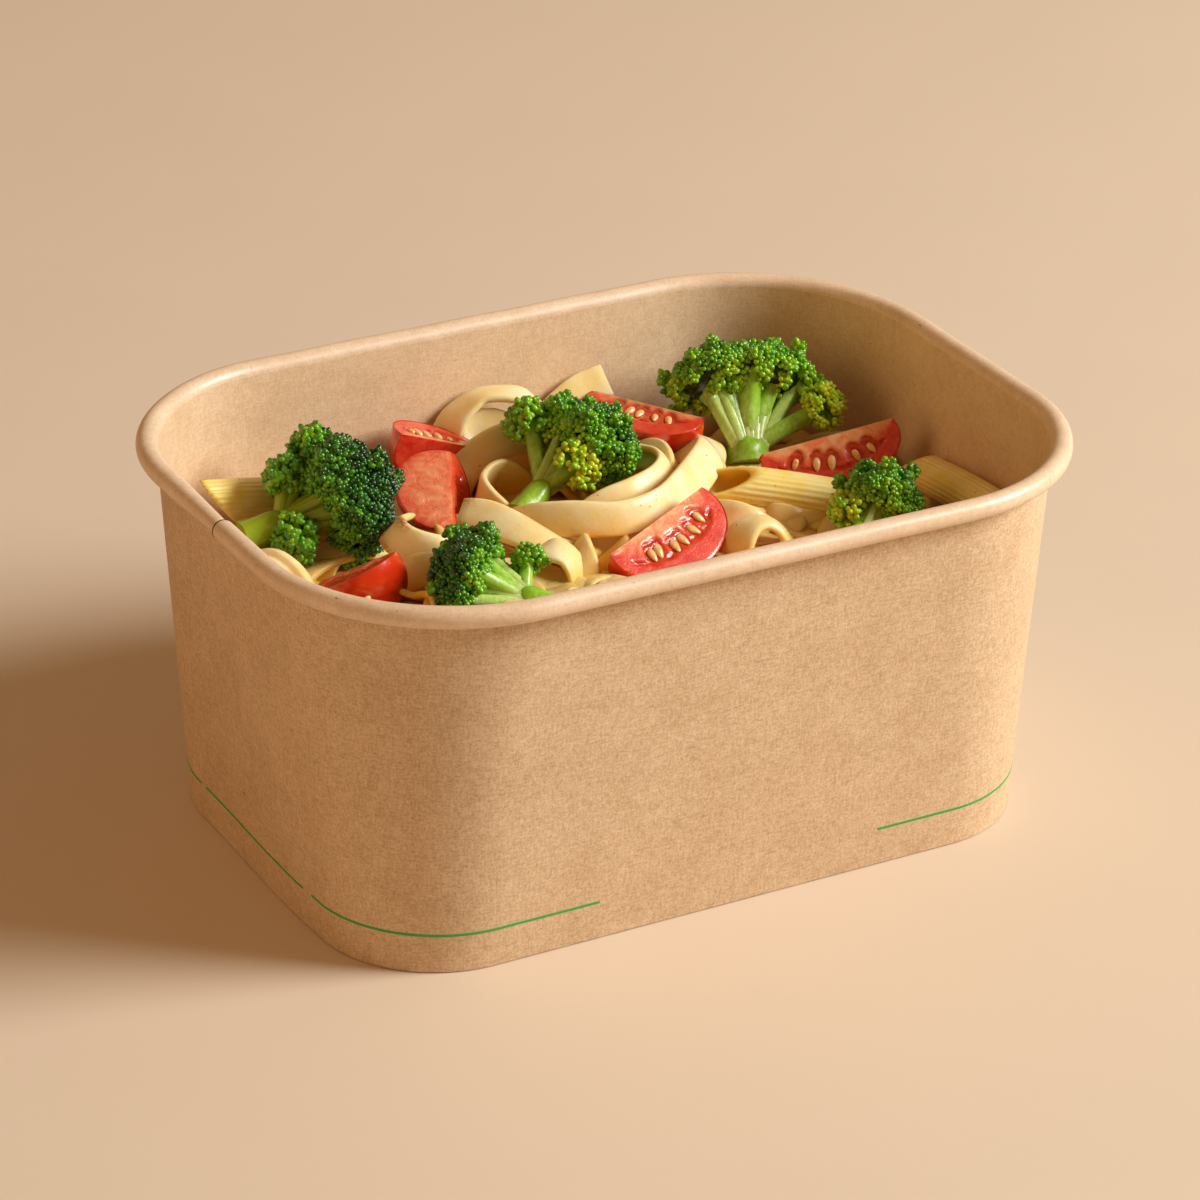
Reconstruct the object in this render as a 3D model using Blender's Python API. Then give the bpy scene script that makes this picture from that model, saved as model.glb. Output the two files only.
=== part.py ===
"""A rectangular paper tub of ribbon pasta and penne, topped with broccoli florets and tomato wedges.

Dimensions below are in millimetres and angles in degrees. Each mesh is scaled to metres as it becomes
an object. The origin is at the centre of the tub's footprint, X runs along its long side, Z is up.
"""
import math
import random

import bmesh
import bpy
from mathutils import Matrix, Vector

METRES = 0.001
GAP = 0.3

# The tub: a tapered sleeve of paper with rounded corners and its top edge rolled outwards.
RIM_LENGTH = 172.0
RIM_WIDTH = 125.0
RIM_CORNER = 40.5
BASE_LENGTH = 151.0
BASE_WIDTH = 103.0
BASE_CORNER = 24.5
HEIGHT = 80.0
PAPER = 0.5
RIM_ROLL = 4.4
ROLL_END = -120.0
ROLL_STEPS = 8
CORNER_STEPS = 7
HEM_HEIGHT = 6.0
PANEL_TOP = 7.1

# The sleeve's ends overlap on one short side. Places along it are shares of its straight part: the raw
# edge of the inner end, where the outer end starts to thin out, and where the single sheet lies flush.
LAP_EDGE = -0.2
LAP_THINS = -0.7
LAP_SETTLES = 0.6

# The pasta's own body under the loose pieces that show.
CORE_FLOOR = PANEL_TOP + GAP
CORE_LEVEL = 45.5
CORE_CROWN = 5.5
CORE_WAVE = 0.9
CORE_RINGS = 5

RIBBON_WIDTH = 7.6
RIBBON_THICKNESS = 1.5
RIBBON_STEP = 6.4

PENNE_RADIUS = 4.2
PENNE_WALL = 1.2
PENNE_SIDES = 10
PENNE_SLANT = 1.15

WEDGE_ROWS = 11
WEDGE_TURNS = 5
FLAT = math.radians(3)
# Toppings press into the pasta: it is cut back to this distance from each of them.
NEST = 0.45
ROOM_MARGIN = 4.6

PAPER_COLOR = (0.68, 0.45, 0.27)
PASTA_COLOR = (0.86, 0.66, 0.30)
BROCCOLI_COLOR = (0.09, 0.25, 0.03)
TOMATO_COLOR = (0.66, 0.07, 0.03)

# Each ribbon's course: x, y, z of its middle line, and how far its band is turned up from lying flat.
RIBBONS = (
    ((-9.5, 52, 48, 20), (-8, 53, 60, 10), (-3, 53, 65, 0), (2.5, 51, 66.5, 0), (8.5, 48, 65.5, 0),
     (15, 48, 59, -10), (19, 49, 47, -10)),
    ((5, 52, 47, 20), (13, 53, 56, 25), (21, 53, 61.5, 32), (29, 51.5, 64, 35)),
    ((-3, 45, 47, 60), (-3, 48.5, 58, 65), (0.5, 48, 60.5, 70), (6, 44, 56, 70), (8, 42, 48, 70)),
    ((-15, 38, 46, 50), (-11, 40.5, 55, 55), (-5.5, 41, 59, 62), (1, 41.5, 60.5, 65), (8, 42.5, 58.5, 62),
     (14, 43, 49, 55)),
    ((3, 35, 50, 60), (-4.5, 35, 56.5, 70), (-10, 32.5, 56, 80), (-12, 27, 55, 70), (-8, 20, 49, 50)),
    ((-17, 20.5, 48, 50), (-12.5, 13.5, 55.5, 60), (-5, 6.5, 58.5, 64), (4, 2, 58.5, 66), (14, 3, 58.5, 62),
     (23, 8.5, 58.5, 50), (32, 16.5, 58.5, 40), (38.5, 24.5, 57.5, 32), (41.5, 33, 55, 25), (39, 41, 50, 15)),
    ((-2, 13.5, 50, 60), (6, 11.5, 56, 62), (13, 11, 58, 62), (20, 13.5, 58.5, 58), (25, 18.5, 58.5, 48),
     (27, 25.5, 58.2, 32), (25, 32, 57.5, 20), (19.5, 37, 55, 12), (12, 39, 50, 10)),
    ((-21, 21, 57, 32), (-17.8, 16.8, 57.5, 32), (-15.2, 12, 57, 28), (-12, 7, 56, 18), (-8, 3.5, 54.6, 10),
     (-3, 3.5, 53, 8), (2, 7, 50.5, 5), (8, 13, 47, 5)),
    ((-33.5, 23, 57.8, 20), (-37.5, 18, 58.2, 45), (-37, 12.5, 57.4, 60), (-33, 8, 56.5, 62), (-26.5, 8, 55, 60),
     (-20, 10, 51, 50), (-14, 13, 47, 50)),
    ((-43, 13, 47, 50), (-38, 7.5, 53.5, 55), (-32, 5, 53.5, 55), (-25, 5, 47, 55)),
    ((-65.7, 32.5, 47, 10), (-64.5, 27.5, 52.5, 15), (-63.1, 22.5, 55.3, 20), (-61.7, 18, 55, 25),
     (-60.5, 14, 52.5, 28), (-59.7, 10.5, 47, 28)),
    ((-14, 6.7, 52, 0), (-14.5, 0.7, 56, 8), (-13, -2.6, 57.3, 8), (-10.8, -4.8, 56.5, 0), (-9.5, -6.8, 53.5, -5),
     (-9, -8.8, 49, -5)),
    ((-4, 5, 51.5, 45), (-6, 0.5, 54.8, 48), (-7.4, -3, 55, 38), (-8.2, -6.2, 53.3, 18), (-8.2, -8.7, 50.3, 6),
     (-8, -11, 46, 0)),
    ((4, 3.5, 51, 40), (1.5, -1.2, 53.6, 42), (-0.5, -4.2, 53.6, 36), (-2, -6.8, 51.6, 26), (-3, -9.2, 47.5, 18)),
    ((21.5, -13, 46, -10), (22.5, -12.2, 51.5, -10), (24.2, -11.2, 55.3, -10), (26.8, -10.3, 57.3, -12),
     (30, -10.3, 57.5, -12), (32.8, -11.3, 56, -10), (34.8, -12.8, 52.2, -10), (35.6, -14, 46.5, -10)),
    ((22, 12, 48, 40), (26.5, 3, 54, 40), (31, -3, 54, 45), (38, -6, 48, 45)),
    ((20, 36, 48, 40), (25, 29, 57, 45), (25, 21, 57, 50), (19, 13, 48, 50)),
    ((30, 37, 47, 40), (34.5, 29, 56, 40), (36, 22, 55.5, 45), (35, 13, 47, 45)),
    ((62, 36, 45, 30), (70, 28, 50.5, 30), (73, 19, 50.5, 30), (71, 9, 44, 30)),
)

# Loose turns of ribbon over the rest of the heap: centre x, y, crest height, radius, start and sweep.
TURNS = (
    (-12, -24, 52.5, 12, 20, 230),
    (-24, -49, 50, 12, 150, 220),
    (31, -31, 52.5, 12, 100, 240),
    (62, -37, 50, 13, -60, 240),
    (-62, -41, 51.5, 12, 60, 230),
    (-48, -5, 53, 11, -30, 210),
    (46, 6, 50.5, 11, 150, 220),
    (-29, 28, 49, 10, 200, 230),
    (56, 0, 50.5, 11, -40, 220),
)
TURN_WAVE = 1.6
TURN_LEAN = 38.0

# Penne: the two ends of each tube's middle line, and the side where the first end is cut back.
PENNE = {
    "penne_back_left": ((-62.5, 45.0, 58.5), (-33.0, 50.0, 50.5), -70),
    "penne_right": ((31.5, 12.0, 56.3), (64.0, -5.8, 49.8), 112),
    "penne_right_wall": ((74.8, 5.0, 53.8), (74.6, -25.5, 56.6), 90),
    "penne_front_left": ((-40.5, -18.0, 53.5), (-43.0, -49.0, 53.0), 90),
}

# Tomato wedges: both ends of the inner edge, a point of the outer edge of the cut face seen first,
# and the wedge's angle, turned from that face round the inner edge.
WEDGES = {
    "tomato_back_left": ((-6.2, 41.7, 59.8), (-22.3, 43.7, 65.4), (-13.1, 53.4, 62.2), 90),
    "tomato_left": ((-20.4, 25.3, 52.0), (-15.2, 36.4, 63.0), (-28.4, 35.0, 58.4), -118),
    "tomato_front_left": ((-43.4, 4.5, 60.8), (-53.6, 15.0, 52.4), (-56.9, 2.2, 57.4), -90),
    "tomato_back": ((25.3, 50.7, 62.8), (39.8, 30.5, 61.7), (24.1, 34.6, 60.7), 65),
    "tomato_front": ((-3.3, -8.6, 57.0), (22.5, 0.9, 62.0), (17.0, -12.6, 53.0), 65),
    "tomato_right": ((45.8, 16.6, 58.0), (71.7, 8.5, 64.0), (63.2, 5.5, 52.8), 65),
    "tomato_near_left": ((-33.0, -30.0, 56.0), (-9.0, -41.0, 56.0), (-25.0, -44.0, 51.5), 65),
    "tomato_near_right": ((30.0, -44.0, 55.0), (54.0, -36.0, 57.0), (45.0, -48.5, 51.0), 65),
}
WEDGE_SKEW = 0.2
WEDGE_ARC = math.radians(108)

# Broccoli: middle of the crown, end of the stalk, stalk radius, the crown's radii across, across and
# along its stalk, the number of round clusters, and further clusters as x, y, z and radius.
FLORETS = {
    "broccoli_left": ((-41.2, 31.4, 60.0), (-62.5, 33.0, 55.5), 3.6, (13.5, 13.5, 11.0), 9,
                      ((-54.0, 27.5, 56.0, 5.2), (-51.3, 37.3, 64.0, 4.8), (-44.3, 40.4, 69.0, 4.4))),
    "broccoli_centre": ((10.5, 29.0, 63.0), (-7.5, 21.0, 54.0), 2.9, (13.5, 9.5, 8.5), 9,
                        ((2.4, 35.5, 66.5, 5.4), (6.0, 22.0, 61.5, 5.2))),
    "broccoli_back_right": ((53.0, 37.5, 64.5), (48.5, 26.0, 51.0), 4.6, (16.5, 11.0, 8.0), 10,
                            ((65.5, 25.5, 61.0, 5.0),)),
    "broccoli_front": ((-31.5, -4.5, 57.0), (-20.0, -15.5, 51.5), 3.4, (11.0, 9.0, 8.0), 8,
                       ((-20.5, -6.5, 58.5, 3.6),)),
    "broccoli_right": ((55.5, -13.5, 58.0), (45.0, -20.0, 53.0), 2.8, (9.0, 8.5, 7.5), 8,
                       ((48.0, -13.5, 57.5, 4.4),)),
    "broccoli_near": ((8.5, -38.0, 54.5), (15.0, -26.0, 50.0), 3.4, (11.5, 10.0, 8.0), 8, ()),
    "broccoli_near_left": ((-61.0, -24.5, 54.5), (-52.0, -18.0, 50.5), 3.0, (9.5, 8.5, 7.0), 8, ()),
}
CLUSTER_SHARE = 0.46
CLUSTER_SPREAD = 115.0
HEART_SHARE = 0.84
STALK_SIDES = 6
FORK_SHARE = 0.35
BRANCHES = 3
BRANCH_TURN = 20.0
BRANCH_REACH = 0.55


def clear_scene():
    for item in list(bpy.data.objects):
        bpy.data.objects.remove(item, do_unlink=True)


def new_collection(name):
    collection = bpy.data.collections.new(name)
    bpy.context.scene.collection.children.link(collection)
    return collection


def new_material(name, color, roughness):
    material = bpy.data.materials.new(name)
    material.use_nodes = True
    shader = material.node_tree.nodes["Principled BSDF"]
    shader.inputs["Base Color"].default_value = (*color, 1.0)
    shader.inputs["Roughness"].default_value = roughness
    shader.inputs["Metallic"].default_value = 0.0
    return material


def new_object(name, shape, material, collection):
    """Turns a bmesh in millimetres into an object in metres."""
    bmesh.ops.remove_doubles(shape, verts=shape.verts, dist=GAP / 1000)
    bmesh.ops.recalc_face_normals(shape, faces=shape.faces)
    bmesh.ops.triangulate(shape, faces=shape.faces)
    bmesh.ops.scale(shape, vec=(METRES, METRES, METRES), verts=shape.verts)
    mesh = bpy.data.meshes.new(name)
    shape.to_mesh(mesh)
    shape.free()
    if material:
        mesh.materials.append(material)
    mesh.shade_smooth()
    mesh.set_sharp_from_angle(angle=math.radians(40))
    item = bpy.data.objects.new(name, mesh)
    collection.objects.link(item)
    return item


def loft(rings, closed=False):
    """Joins rings of equal length; the first and last are capped, or joined when closed."""
    shape = bmesh.new()
    rows = [[shape.verts.new(point) for point in ring] for ring in rings]
    pairs = list(zip(rows, rows[1:]))
    if closed:
        pairs.append((rows[-1], rows[0]))
    else:
        shape.faces.new(rows[0][::-1])
        shape.faces.new(rows[-1])
    for low, high in pairs:
        for i in range(len(low)):
            j = (i + 1) % len(low)
            shape.faces.new((low[i], low[j], high[j], high[i]))
    return shape


# The tub's outline.

def between(low, high, z):
    """A size that changes evenly from the base to the rim."""
    return low + (high - low) * z / (HEIGHT - RIM_ROLL / 2)


def outline_point(line, offset, z):
    """A point on an upright line (mx, my, angle), offset outwards from the sleeve's outer face."""
    mx, my, angle = line
    reach = RIM_ROLL - PAPER
    radius = between(BASE_CORNER, RIM_CORNER - reach, z)
    x = mx * (between(BASE_LENGTH / 2, RIM_LENGTH / 2 - reach, z) - radius)
    y = my * (between(BASE_WIDTH / 2, RIM_WIDTH / 2 - reach, z) - radius)
    return Vector((x + (radius + offset) * math.cos(angle), y + (radius + offset) * math.sin(angle), z))


def outline_lines():
    """The upright lines round the tub, anticlockwise, and how far each face of the lap stands out."""
    lap = (
        (LAP_SETTLES, 0.0, 0.0),
        (LAP_EDGE, PAPER, PAPER),
        (LAP_EDGE, PAPER, 0.0),
        (LAP_THINS, PAPER, 0.0),
    )
    lines = []
    for quarter, (mx, my) in enumerate(((1, 1), (-1, 1), (-1, -1), (1, -1))):
        for step in range(CORNER_STEPS + 1):
            angle = (quarter + step / CORNER_STEPS) * math.pi / 2
            lines.append(((mx, my, angle), 0.0, 0.0))
        if quarter == 1:
            lines += [((-1, share, math.pi), outer, inner) for share, outer, inner in lap]
    return lines


def plain_ring(offset, z):
    return [outline_point(line, offset, z) for line, outer, inner in outline_lines() if outer == inner == 0]


def sleeve_section(outer, inner):
    """The sleeve's cross-section as (offset, height), from its foot up, round the roll and back down."""
    centre = RIM_ROLL / 2 - PAPER
    top = HEIGHT - RIM_ROLL / 2
    turns = [math.radians(180 + (ROLL_END - 180) * step / ROLL_STEPS) for step in range(ROLL_STEPS + 1)]
    inside = RIM_ROLL / 2 - PAPER - outer
    outside = RIM_ROLL / 2 - inner
    channel = PAPER + 2 * GAP
    hem = -PAPER - channel
    points = [(outer, 0.0)]
    points += [(centre + inside * math.cos(turn), top + inside * math.sin(turn)) for turn in turns]
    points += [(centre + outside * math.cos(turn), top + outside * math.sin(turn)) for turn in reversed(turns)]
    points += [(inner - PAPER, PAPER), (hem, PAPER), (hem, HEM_HEIGHT), (hem - PAPER, HEM_HEIGHT)]
    points += [(hem - PAPER, 0.0)]
    return points


def build_sleeve(material, collection):
    rings = []
    for line, outer, inner in outline_lines():
        rings.append([outline_point(line, offset, z) for offset, z in sleeve_section(outer, inner)])
    return new_object("tub_sleeve", loft(rings, closed=True), material, collection)


def build_panel(material, collection):
    """The base: a raised panel with its edge turned down into the sleeve's hem."""
    outer = -PAPER - GAP
    inner = outer - PAPER
    low = PAPER + GAP
    rings = (
        plain_ring(inner, PANEL_TOP - PAPER),
        plain_ring(inner, low),
        plain_ring(outer, low),
        plain_ring(outer, PANEL_TOP),
    )
    return new_object("tub_base", loft(rings), material, collection)


# The pasta.

def core_height(x, y):
    """The core's uneven top."""
    dome = 1 - (2 * x / RIM_LENGTH) ** 2 - (2 * y / RIM_WIDTH) ** 2
    wave = math.sin(x / 6.5 + 0.7) * math.cos(y / 5.5) + 0.6 * math.sin(x / 3.7 - y / 4.9)
    return CORE_LEVEL + CORE_CROWN * dome + CORE_WAVE * wave


def build_core(collection):
    """A plug that fills the tub up to the core's top."""
    side = -PAPER - GAP
    edge = plain_ring(side, CORE_LEVEL)
    rings = [plain_ring(side, CORE_FLOOR)]
    for step in range(CORE_RINGS):
        share = 1 - step / CORE_RINGS
        rings.append([Vector((x * share, y * share, core_height(x * share, y * share))) for x, y, z in edge])
    return new_object("core", loft(rings), None, collection)


def build_inside(collection):
    """All the room in the tub above its base."""
    side = -PAPER - GAP
    rings = (plain_ring(side, CORE_FLOOR), plain_ring(side, HEIGHT - RIM_ROLL))
    return new_object("inside", loft(rings), None, collection)


def smooth_course(points, spacing):
    """Points about spacing apart on a smooth curve through the given ones, each with its extra values."""
    points = [Vector(point) for point in points]
    points = [2 * points[0] - points[1], *points, 2 * points[-1] - points[-2]]
    course = []
    for a, b, c, d in zip(points, points[1:], points[2:], points[3:]):
        steps = max(1, round((c - b).length / spacing))
        for step in range(steps):
            t = step / steps
            course.append(0.5 * (2 * b + (c - a) * t + (2 * a - 5 * b + 4 * c - d) * t ** 2
                                 + (3 * b - 3 * c + d - a) * t ** 3))
    return [*course, points[-2]]


def band_frames(course):
    """(middle, across, up) at each point of a course whose fourth value is the band's lean."""
    frames = []
    for i, point in enumerate(course):
        before = course[max(i - 1, 0)]
        after = course[min(i + 1, len(course) - 1)]
        along = (after - before).xyz.normalized()
        level = Vector((0, 0, 1)).cross(along).normalized()
        rise = along.cross(level)
        lean = math.radians(point.w)
        across = math.cos(lean) * level + math.sin(lean) * rise
        frames.append((point.xyz, across, along.cross(across)))
    return frames


def ribbon(points):
    course = smooth_course(points, RIBBON_STEP)
    half_width = RIBBON_WIDTH / 2
    half_thick = RIBBON_THICKNESS / 2
    corners = ((-1, -1), (1, -1), (1, 1), (-1, 1))
    rings = []
    for middle, across, up in band_frames(course):
        rings.append([middle + side * half_width * across + face * half_thick * up for side, face in corners])
    return loft(rings)


def turn_course(x, y, z, radius, start, sweep):
    """The course of a loose turn, rising and falling a little as it goes round."""
    count = max(4, round(abs(sweep) / 45))
    points = []
    for step in range(count + 1):
        share = step / count
        angle = math.radians(start + sweep * share)
        reach = radius * (1 - 0.25 * share)
        height = z - 4 * (2 * share - 1) ** 4 + TURN_WAVE * math.sin(3 * angle + x)
        lean = TURN_LEAN * math.sin(math.pi * share)
        points.append((x + reach * math.cos(angle), y + reach * math.sin(angle), height, lean))
    return points


def tube_rings(ends, radius, longer):
    """The two end rings of a straight tube, cut at the same slant and moved apart by longer each."""
    start, end = (Vector(point) for point in ends[:2])
    along = (end - start).normalized()
    start, end = start - longer * along, end + longer * along
    level = Vector((0, 0, 1)).cross(along).normalized()
    rise = along.cross(level)
    rings = []
    for middle in (start, end):
        ring = []
        for side in range(PENNE_SIDES):
            angle = 2 * math.pi * side / PENNE_SIDES
            cut = PENNE_SLANT * radius * math.cos(angle - math.radians(ends[2]))
            ring.append(middle + cut * along + radius * (math.cos(angle) * level + math.sin(angle) * rise))
        rings.append(ring)
    return rings


def penne(ends, material, name, collection):
    """A hollow tube with both ends cut at a slant."""
    outer = tube_rings(ends, PENNE_RADIUS, 0.0)
    inner = tube_rings(ends, PENNE_RADIUS - PENNE_WALL, 0.0)
    return new_object(name, loft(outer + inner[::-1], closed=True), material, collection)


def penne_room(ends, collection):
    """The space that a tube takes in the pasta."""
    rings = tube_rings(ends, PENNE_RADIUS + NEST, NEST * math.hypot(1, PENNE_SLANT))
    return new_object("room", loft(rings), None, collection)


# The toppings.

def wedge_shape(inner_start, inner_end, edge, angle):
    """A wedge of tomato: two flat cut faces that meet at the inner edge, and the skin between them."""
    start, end = Vector(inner_start), Vector(inner_end)
    along = (end - start).normalized()
    out = Vector(edge) - (start + end) / 2
    out -= out.dot(along) * along
    shares = [level / WEDGE_ROWS for level in range(WEDGE_ROWS + 1)]
    rows = [[start.lerp(end, share) for share in shares]]
    for step in range(WEDGE_TURNS + 1):
        ray = Matrix.Rotation(math.radians(angle) * step / WEDGE_TURNS, 3, along) @ out
        row = []
        for share in shares:
            turn = (2 * share - 1) * WEDGE_ARC
            place = 0.5 + math.sin(turn) / (2 * math.sin(WEDGE_ARC))
            reach = (math.cos(turn) - math.cos(WEDGE_ARC)) / (1 - math.cos(WEDGE_ARC))
            row.append(start.lerp(end, place) + reach * (1 + WEDGE_SKEW * (share - 0.5)) * ray)
        rows.append(row)
    shape = bmesh.new()
    rows = [[shape.verts.new(point) for point in row] for row in rows]
    for one, two in zip(rows, [*rows[1:], rows[0]]):
        for level in range(WEDGE_ROWS):
            shape.faces.new((one[level], one[level + 1], two[level + 1], two[level]))
    bmesh.ops.remove_doubles(shape, verts=shape.verts, dist=GAP / 1000)
    bmesh.ops.recalc_face_normals(shape, faces=shape.faces)
    return shape


def grow(shape, room):
    """Moves a convex shape's surface outwards by room."""
    shape.normal_update()
    moves = [vert.normal * room * min(vert.calc_shell_factor(), 3.0) for vert in shape.verts]
    for vert, move in zip(shape.verts, moves):
        vert.co += move
    return shape


def ball(centre, radii, frame, detail):
    shape = bmesh.new()
    bmesh.ops.create_icosphere(shape, subdivisions=detail, radius=1.0)
    matrix = Matrix.Translation(centre) @ frame.to_4x4() @ Matrix.Diagonal((*radii, 1.0))
    bmesh.ops.transform(shape, matrix=matrix, verts=shape.verts)
    return shape


def taper(start, end, start_radius, end_radius):
    """A tapered round stalk."""
    shape = bmesh.new()
    along = end - start
    bmesh.ops.create_cone(shape, cap_ends=True, segments=STALK_SIDES, radius1=start_radius,
                          radius2=end_radius, depth=along.length)
    turn = along.to_track_quat("Z", "Y").to_matrix().to_4x4()
    matrix = Matrix.Translation((start + end) / 2) @ turn
    bmesh.ops.transform(shape, matrix=matrix, verts=shape.verts)
    return shape


def crown_frame(crown, foot):
    """Axes of a crown: across (level), across again, and along its stalk."""
    along = (crown - foot).normalized()
    level = Vector((0, 0, 1)).cross(along).normalized()
    return Matrix((level, along.cross(level), along)).transposed()


def crown_clusters(crown, frame, radii, count, draw):
    """Round clusters set evenly over the crown's dome, as (centre, radius)."""
    size = sum(radii) / 3
    clusters = []
    for i in range(count):
        share = (i + 0.5) / count
        polar = math.acos(1 - share * (1 - math.cos(math.radians(CLUSTER_SPREAD))))
        turn = i * math.pi * (3 - math.sqrt(5))
        ray = Vector((math.sin(polar) * math.cos(turn), math.sin(polar) * math.sin(turn), math.cos(polar)))
        radius = size * CLUSTER_SHARE * draw.uniform(0.85, 1.15)
        local = Vector([ray[k] * max(radii[k] - radius, 0.0) for k in range(3)])
        clusters.append((crown + frame @ local, radius))
    return clusters


def reach_of(ray, heart, clusters):
    """How far the heart and the clusters reach from the crown's middle along a ray of its own axes."""
    reach = 1 / math.sqrt(sum((ray[k] / heart[k]) ** 2 for k in range(3)))
    for centre, radius in clusters:
        near = ray.dot(centre)
        inside = near ** 2 - centre.length_squared + radius ** 2
        if inside > 0:
            reach = max(reach, near + math.sqrt(inside))
    return reach


def crown_shape(crown, frame, radii, clusters, room):
    """The crown's lumpy outer form, or the simpler and larger space that it takes."""
    heart = Vector(radii) * HEART_SHARE
    local = [(frame.transposed() @ (centre - crown), radius) for centre, radius in clusters]
    shape = bmesh.new()
    bmesh.ops.create_icosphere(shape, subdivisions=2 if room else 3, radius=1.0)
    for vert in shape.verts:
        ray = vert.co.normalized()
        vert.co = crown + frame @ ray * (reach_of(ray, heart, local) + ROOM_MARGIN * room)
    return shape


def branch_ends(crown, frame, radii):
    """Where the stalk's branches meet the crown."""
    ends = []
    for i in range(BRANCHES):
        angle = math.radians(BRANCH_TURN) + 2 * math.pi * i / BRANCHES
        local = Vector((radii[0] * math.cos(angle), radii[1] * math.sin(angle), -radii[2] * 0.3)) * BRANCH_REACH
        ends.append(crown + frame @ local)
    return ends


def floret_pieces(spec, draw, room):
    """The solids that make up one floret, each larger by room."""
    crown, foot, stalk, radii, count, extra = spec
    crown, foot = Vector(crown), Vector(foot)
    frame = crown_frame(crown, foot)
    clusters = crown_clusters(crown, frame, radii, count, draw)
    fork = foot.lerp(crown, FORK_SHARE)
    cut = foot - (crown - foot).normalized() * room
    pieces = [crown_shape(crown, frame, radii, clusters, room)]
    pieces.append(taper(cut, fork.lerp(crown, 0.3), stalk + room, stalk * 0.8 + room))
    for end in branch_ends(crown, frame, radii):
        pieces.append(taper(fork, end, stalk * 0.55 + room, stalk * 0.4 + room))
    for x, y, z, radius in extra:
        centre = Vector((x, y, z))
        pieces.append(ball(centre, (radius + room,) * 3, Matrix.Identity(3), 2))
        pieces.append(taper(fork, centre, stalk * 0.5 + room, radius * 0.45 + room))
    return pieces


def build_floret(name, spec, material, collection):
    shapes = floret_pieces(spec, random.Random(name), 0.0)
    body, *pieces = [new_object(name, shape, material, collection) for shape in shapes]
    combine(body, pieces, "UNION")
    body.name = name
    return body


# Joining and cutting.

def largest_body(mesh):
    """Keeps the largest closed body of a mesh, so that no loose scrap or sealed hollow is left."""
    shape = bmesh.new()
    shape.from_mesh(mesh)
    bmesh.ops.dissolve_limit(shape, angle_limit=FLAT, verts=shape.verts, edges=shape.edges)
    bmesh.ops.triangulate(shape, faces=shape.faces)
    left = set(shape.verts)
    bodies = []
    while left:
        body = {left.pop()}
        edge = list(body)
        while edge:
            found = {link.other_vert(vert) for vert in edge for link in vert.link_edges} - body
            body |= found
            edge = list(found)
        left -= body
        bodies.append(body)
    keep = max(bodies, key=len)
    bmesh.ops.delete(shape, geom=[vert for vert in shape.verts if vert not in keep], context="VERTS")
    shape.to_mesh(mesh)
    shape.free()


def combine(body, others, operation, solver="EXACT"):
    """Joins the others to body, or cuts it by them, and removes them."""
    tools = new_collection("tools")
    for other in others:
        for owner in list(other.users_collection):
            owner.objects.unlink(other)
        tools.objects.link(other)
    modifier = body.modifiers.new("combine", "BOOLEAN")
    modifier.operation = operation
    modifier.operand_type = "COLLECTION"
    modifier.collection = tools
    modifier.solver = solver
    bpy.context.view_layer.update()
    evaluated = body.evaluated_get(bpy.context.evaluated_depsgraph_get())
    mesh = bpy.data.meshes.new_from_object(evaluated)
    body.modifiers.remove(modifier)
    for other in others:
        bpy.data.objects.remove(other, do_unlink=True)
    bpy.data.collections.remove(tools)
    mesh.name = body.name
    largest_body(mesh)
    body.data = mesh


def build_pasta(material, collection):
    """The heap: its core and ribbons as one body, kept inside the tub and cut back round each topping."""
    heap = build_core(collection)
    heap.name = "pasta"
    courses = [*RIBBONS, *(turn_course(*turn) for turn in TURNS)]
    bands = [new_object("band", ribbon(course), None, collection) for course in courses]
    combine(heap, bands, "UNION", "MANIFOLD")
    combine(heap, [build_inside(collection)], "INTERSECT", "MANIFOLD")
    rooms = [penne_room(ends, collection) for ends in PENNE.values()]
    for wedge in WEDGES.values():
        rooms.append(new_object("room", grow(wedge_shape(*wedge), NEST), None, collection))
    for name, spec in FLORETS.items():
        shapes = floret_pieces(spec, random.Random(name), NEST)
        rooms += [new_object("room", shape, None, collection) for shape in shapes]
    combine(heap, rooms, "DIFFERENCE", "MANIFOLD")
    heap.data.materials.clear()
    heap.data.materials.append(material)
    return heap


def main():
    clear_scene()
    tub = new_collection("pasta_tub")
    paper = new_material("paper", PAPER_COLOR, 0.75)
    pasta = new_material("pasta", PASTA_COLOR, 0.35)
    broccoli = new_material("broccoli", BROCCOLI_COLOR, 0.5)
    tomato = new_material("tomato", TOMATO_COLOR, 0.2)
    build_sleeve(paper, tub)
    build_panel(paper, tub)
    build_pasta(pasta, tub)
    for name, ends in PENNE.items():
        penne(ends, pasta, name, tub)
    for name, wedge in WEDGES.items():
        new_object(name, wedge_shape(*wedge), tomato, tub)
    for name, spec in FLORETS.items():
        build_floret(name, spec, broccoli, tub)


main()
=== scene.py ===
"""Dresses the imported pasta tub: kraft board, ribbons, penne, broccoli and tomato, then a studio and a camera.

Lengths are in millimetres until a piece is built. X runs along the tub's long side and Z is up.
"""
import math
import random
from collections import namedtuple
from itertools import combinations

import bpy
import numpy as np
from mathutils import Matrix, Vector


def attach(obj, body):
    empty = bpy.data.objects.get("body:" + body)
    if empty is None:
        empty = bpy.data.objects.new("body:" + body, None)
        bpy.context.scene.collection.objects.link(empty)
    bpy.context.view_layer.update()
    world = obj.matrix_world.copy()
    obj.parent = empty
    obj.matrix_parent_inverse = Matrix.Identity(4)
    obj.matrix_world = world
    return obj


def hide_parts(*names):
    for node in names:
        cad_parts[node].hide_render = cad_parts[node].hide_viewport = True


MM = 0.001

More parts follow.
